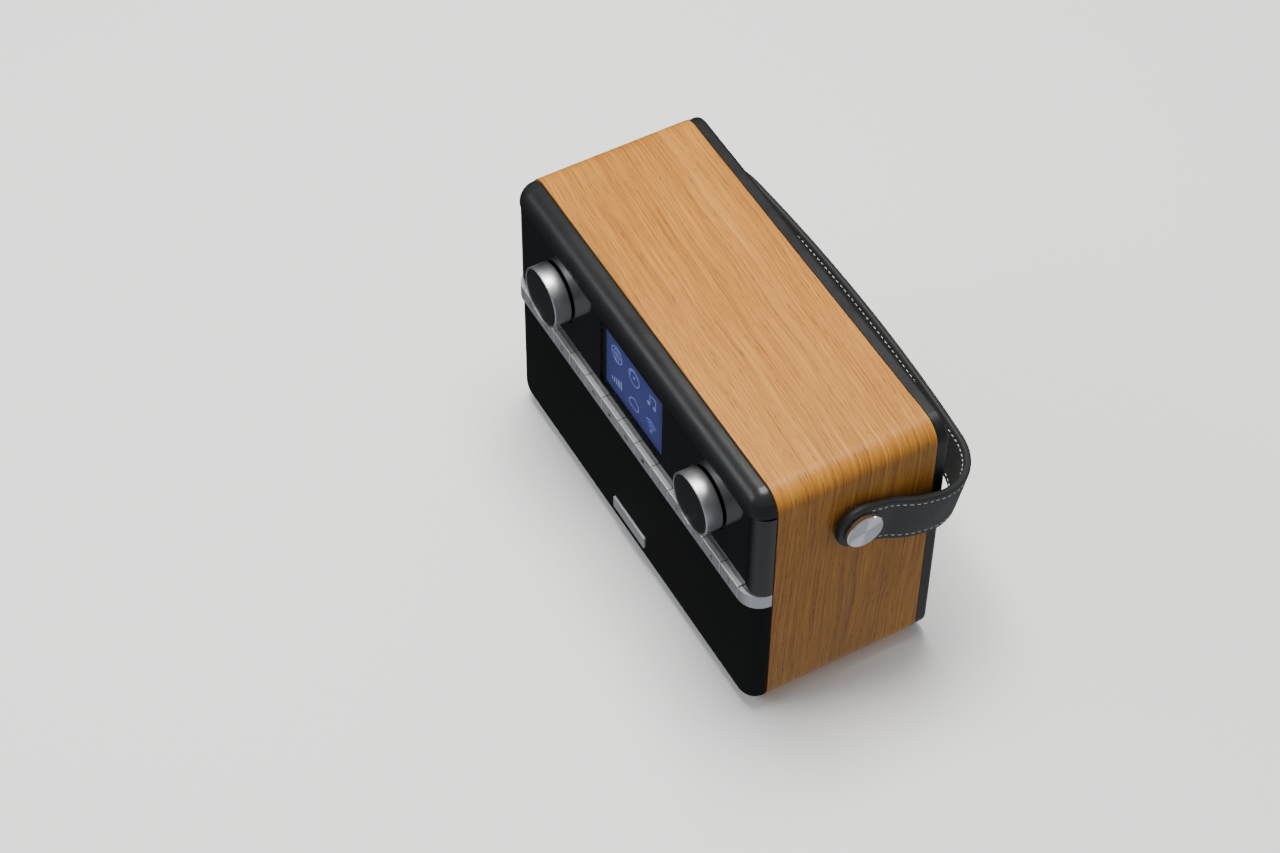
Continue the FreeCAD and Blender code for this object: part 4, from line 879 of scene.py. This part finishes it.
def make_stitches(handle, yarn):
    """Four rows of stitches: near both edges, on the outer and the inner face."""
    random.seed(STITCH_SEED)
    points, faces = [], []
    steps, sides = 6, 6
    first_place = handle.tail + 1
    count = int((2 * handle.length - 2 * first_place) / STITCH_PITCH)
    start = handle.length - count * STITCH_PITCH / 2
    for row in (-STITCH_ROW, STITCH_ROW):
        for face in (-1, 1):
            for number in range(count):
                middle = start + (number + 0.5) * STITCH_PITCH + random.uniform(-0.12, 0.12)
                lean = random.uniform(-0.1, 0.1)
                first = len(points)
                for step in range(steps + 1):
                    share = step / steps * 2 - 1
                    rise = STRAP_THICKNESS / 2 - 0.10 - 0.34 * abs(share) ** 3
                    size = STITCH_RADIUS * math.sqrt(max(0.12, 1 - share ** 4))
                    for side in range(sides):
                        turn = 2 * math.pi * side / sides
                        points.append(handle.place(middle + share * STITCH_LENGTH / 2,
                                                   row + lean * share + size * math.cos(turn),
                                                   face * (rise + size * 0.72 * math.sin(turn))))
                for step in range(steps):
                    for side in range(sides):
                        after = (side + 1) % sides
                        base = first + step * sides
                        quad = [base + side, base + sides + side, base + sides + after, base + after]
                        faces.append(quad if face > 0 else quad[::-1])
                caps = [[first + side for side in range(sides)],
                        [first + steps * sides + side for side in reversed(range(sides))]]
                faces += caps if face > 0 else [cap[::-1] for cap in caps]
    shown("handle_stitching", points, faces, yarn, "handle")


# ------------------------------------------------------------------ the whole radio

def finish_nodes(lit):
    """Gives every CAD node that stays in view its finish."""
    soft_touch = moulded("soft_touch", (0.0140, 0.0148, 0.0160), 0.29, 4.0, 0.010,
                         Specular_IOR_Level=0.25)
    black_abs = moulded("black_abs", (0.0105, 0.0108, 0.0115), 0.36, 1.7, 0.03,
                        Specular_IOR_Level=0.3)
    knob_disc = moulded("knob_disc", (0.0185, 0.0192, 0.0205), 0.45, 5.0, 0.012)
    silver = moulded("satin_silver", (0.60, 0.61, 0.635), 0.34, 6.0, 0.006, spread=0.05,
                     Metallic=0.5)
    rubber = moulded("rubber_black", (0.012, 0.012, 0.0125), 0.8, 2.5, 0.05)
    steel = moulded("steel", (0.45, 0.45, 0.46), 0.3, 3.0, 0.01, spread=0.08, Metallic=1.0)
    paper = moulded("paper_cone", (0.03, 0.03, 0.031), 0.85, 1.5, 0.15)
    ferrite = moulded("ferrite", (0.05, 0.05, 0.055), 0.6, 1.0, 0.1)
    wrap = moulded("pack_wrap", (0.03, 0.09, 0.3), 0.3, 0.3, 0.15)
    chrome = moulded("chrome_plate", (0.78, 0.79, 0.8), 0.12, 0.8, 0.002, spread=0.03,
                     Metallic=1.0)
    badge = brushed("badge_plate", (0.62, 0.625, 0.64), 0.42, (0.12, 3.0, 7.0), Metallic=0.45)
    wholes = {
        soft_touch: ["front_hood"],
        black_abs: ["rear_cover", "battery_door", "front_baffle", "grille_frame", "key_guide",
                    "dc_socket", "audio_sockets", "aerial_mount"],
        knob_disc: ["volume_knob_face", "tuning_knob_face"],
        silver: KEYS + ["corner_trim_left", "corner_trim_right"],
        rubber: ["feet"],
        steel: ["screws", "stud_nuts", "encoders", "driver_frames", "key_switches",
                "network_module", "lcd_frame", "volume_spindle", "tuning_spindle"],
        paper: ["driver_cones"],
        ferrite: ["driver_magnets"],
        wrap: ["battery_pack"],
        chrome: ["studs", "stud_spacers", "strap_eyelets", "aerial_base", "aerial_tube_1",
                 "aerial_tube_2", "aerial_tube_3", "aerial_tube_4"],
        badge: ["badge_plate"],
        circuit_board(): ["main_board"],
        oak_veneer(): ["cabinet_sleeve"],
        grille_cloth(): ["speaker_grille"],
        lit: ["lcd_screen"],
    }
    for material, names in wholes.items():
        for name in names:
            coat(name, material)
    for name in ("volume_knob", "tuning_knob"):
        low, high = span(name)
        turned = turned_metal(f"turned_aluminium_{name}", (0.60, 0.61, 0.63), 0.3,
                              (low + high) / 2, "Y")
        coat(name, turned)
    for side in ("left", "right"):
        low, high = span(f"stud_cap_{side}")
        coat(f"stud_cap_{side}", spun_cap(side, (low + high) / 2))


def make_floor():
    """A pale sheet that shows to the camera and takes shadows, but lights nothing."""
    corners = rectangle(-FLOOR_HALF, FLOOR_HALF, -FLOOR_HALF, FLOOR_HALF)
    mesh = bpy.data.meshes.new("floor")
    mesh.from_pydata([Vector((x, y, 0)) * MM for x, y in corners], [], [[0, 1, 2, 3]])
    f = Finish("floor_paper")
    grain = f.noise(f.place(), 0.5, 3.0)
    f.drive(Base_Color=f.mix(grain, (0.93, 0.93, 0.93), (0.95, 0.95, 0.95)),
            Roughness=f.remap(grain, 0.3, 0.7, 0.75, 0.85))
    mesh.materials.append(f.material)
    floor = bpy.data.objects.new("floor", mesh)
    bpy.context.scene.collection.objects.link(floor)
    floor.visible_glossy = False
    floor.visible_diffuse = False


make_camera()
make_studio()
make_floor()
screen_light = blue_screen()
finish_nodes(screen_light)
gloss = piano_black()
coat("control_panel", gloss)
make_display(window_glass(), printed("display_border_ink", (0.006, 0.006, 0.007)), screen_light)
make_key_marks(printed("key_ink", (0.05, 0.05, 0.055)))
carrying_handle = Handle()
make_strap(carrying_handle, leather())
make_stitches(carrying_handle, thread())
